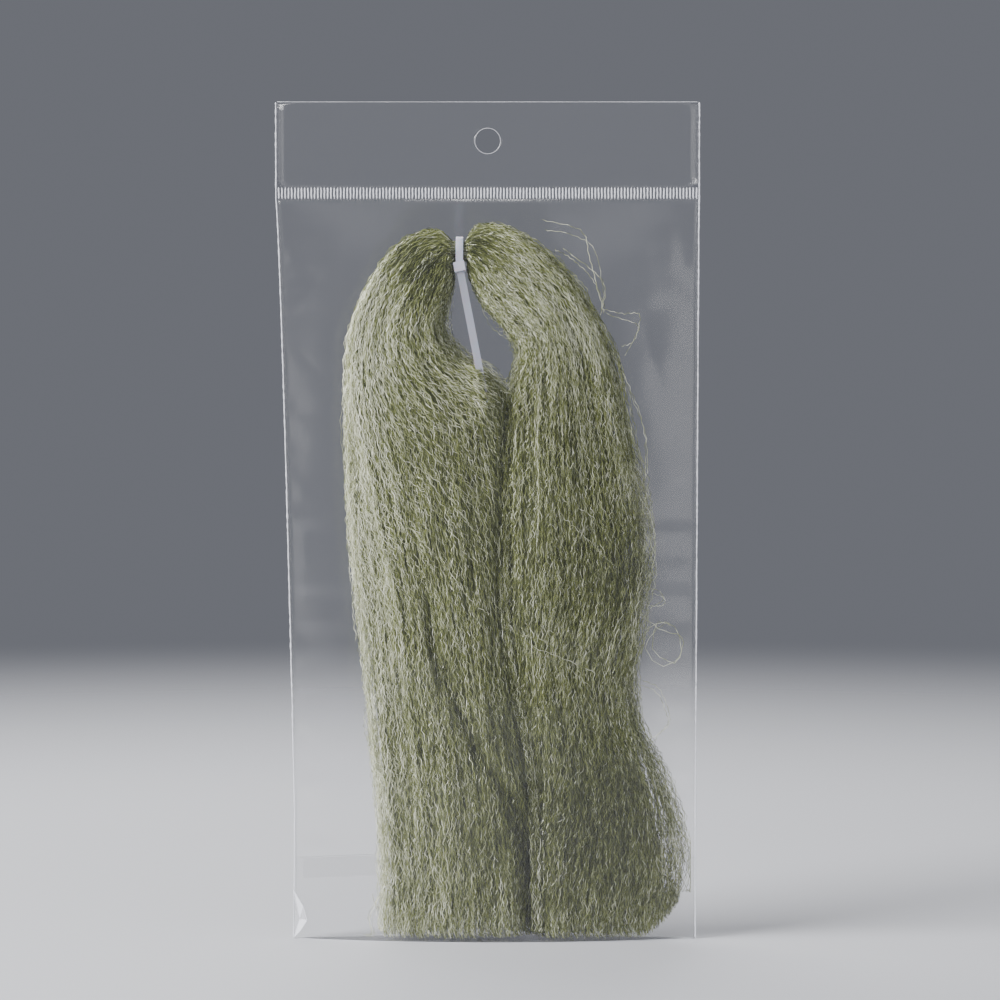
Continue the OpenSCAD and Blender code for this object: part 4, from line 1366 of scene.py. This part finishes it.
def stray_paths(routes, copies, spread, rings, size):
    """Copies of given routes. Each copy moves every place by a random amount of about spread, then takes
    the smooth curve through them, and a crimp."""
    made = []
    for route in routes:
        for _ in range(copies):
            stops = np.array(route, float)
            stops = stops + rng.normal(0, spread, stops.shape) * (1.0, 0.3, 1.0)
            made.append(smooth_rows(stops, np.linspace(0, len(stops) - 1, rings)))
    return inside_film(crimped(np.array(made), size))


for name, routes, copies, spread, rings, size, tone, body, node_name, radius in (
    ("curled_strays", STRAY_ROUTES, 2, 0.8, 26, 0.13, 0.7, "hank", "right_fringe", 0.06),
    ("left_foot_curls", FOOT_ROUTES, 3, 0.6, 20, 0.13, 0.7, "left_half", "left_lock", 0.055),
    ("crossing_strays", CROSSING_ROUTES, 1, 0.6, 18, 0.18, 0.72, "hank", "right_lock", 0.055),
):
    strand_piece(name, stray_paths(routes, copies, spread, rings, size), tone, body, [node_name], radius)
corners = sum(len(piece.data.loops) for piece in strand_pieces)
print("triangles in strands:", corners - 2 * sum(len(piece.data.polygons) for piece in strand_pieces))

# %% [markdown]
# ## Floor and light
# The floor is plain and pale. It fades into the background within a metre, so that no horizon crosses
# the bag. A wide soft light stands to the left in front, a weaker one to the right, a strip high
# behind lights the edges of the film, and the world adds an even grey.

# %% Floor, lights and world
floor_material, tree, output = new_material("pale_floor")
place = add_node(tree, "ShaderNodeTexCoord")
distance = add_node(tree, "ShaderNodeVectorMath", {"operation": "LENGTH"}, {0: place.outputs["Object"]})
fade = add_node(tree, "ShaderNodeMapRange", {"interpolation_type": "SMOOTHSTEP"},
                {"Value": distance.outputs["Value"], "From Min": 0.25, "From Max": 0.9})
paint = add_node(tree, "ShaderNodeBsdfPrincipled",
                 inputs={"Base Color": colour("#C2C3C8"), "Roughness": 0.6})
gone = add_node(tree, "ShaderNodeBsdfTransparent")
floor_mix = add_node(tree, "ShaderNodeMixShader",
                     inputs={0: fade.outputs[0], 1: paint.outputs[0], 2: gone.outputs[0]})
tree.links.new(floor_mix.outputs[0], output.inputs["Surface"])
FLOOR_HALF, FLOOR_Z = 1500, -0.02
floor_points = places([-FLOOR_HALF, FLOOR_HALF, FLOOR_HALF, -FLOOR_HALF],
                      [-FLOOR_HALF, -FLOOR_HALF, FLOOR_HALF, FLOOR_HALF], FLOOR_Z)
floor = mesh_piece("floor", floor_points, [[0, 1, 2, 3]], floor_material, smooth=False)
BAG_MIDDLE = (0, 0, 0.1)


def soft_light(name, place, size, power):
    """A rectangular area light at a place in metres, turned towards the bag's middle."""
    data = bpy.data.lights.new(name, "AREA")
    data.shape = "RECTANGLE"
    data.size, data.size_y = size
    data.energy = power
    lamp = bpy.data.objects.new(name, data)
    bpy.context.scene.collection.objects.link(lamp)
    lamp.location = place
    heading = np.array(BAG_MIDDLE) - np.array(place)
    lamp.rotation_euler = (
        math.acos(-heading[2] / np.linalg.norm(heading)), 0,
        math.atan2(heading[1], heading[0]) - math.pi / 2)


soft_light("key", (-1.3, -0.62, 0.9), (1.0, 1.0), 76)
soft_light("fill", (1.1, -0.8, 0.4), (1.0, 1.0), 7)
soft_light("rim", (-0.3, 0.9, 0.9), (1.3, 0.7), 12)
world = bpy.data.worlds.new("studio")
world.use_nodes = True
world.node_tree.nodes["Background"].inputs["Color"].default_value = colour("#9EA1AB")
world.node_tree.nodes["Background"].inputs["Strength"].default_value = 0.45
bpy.context.scene.world = world
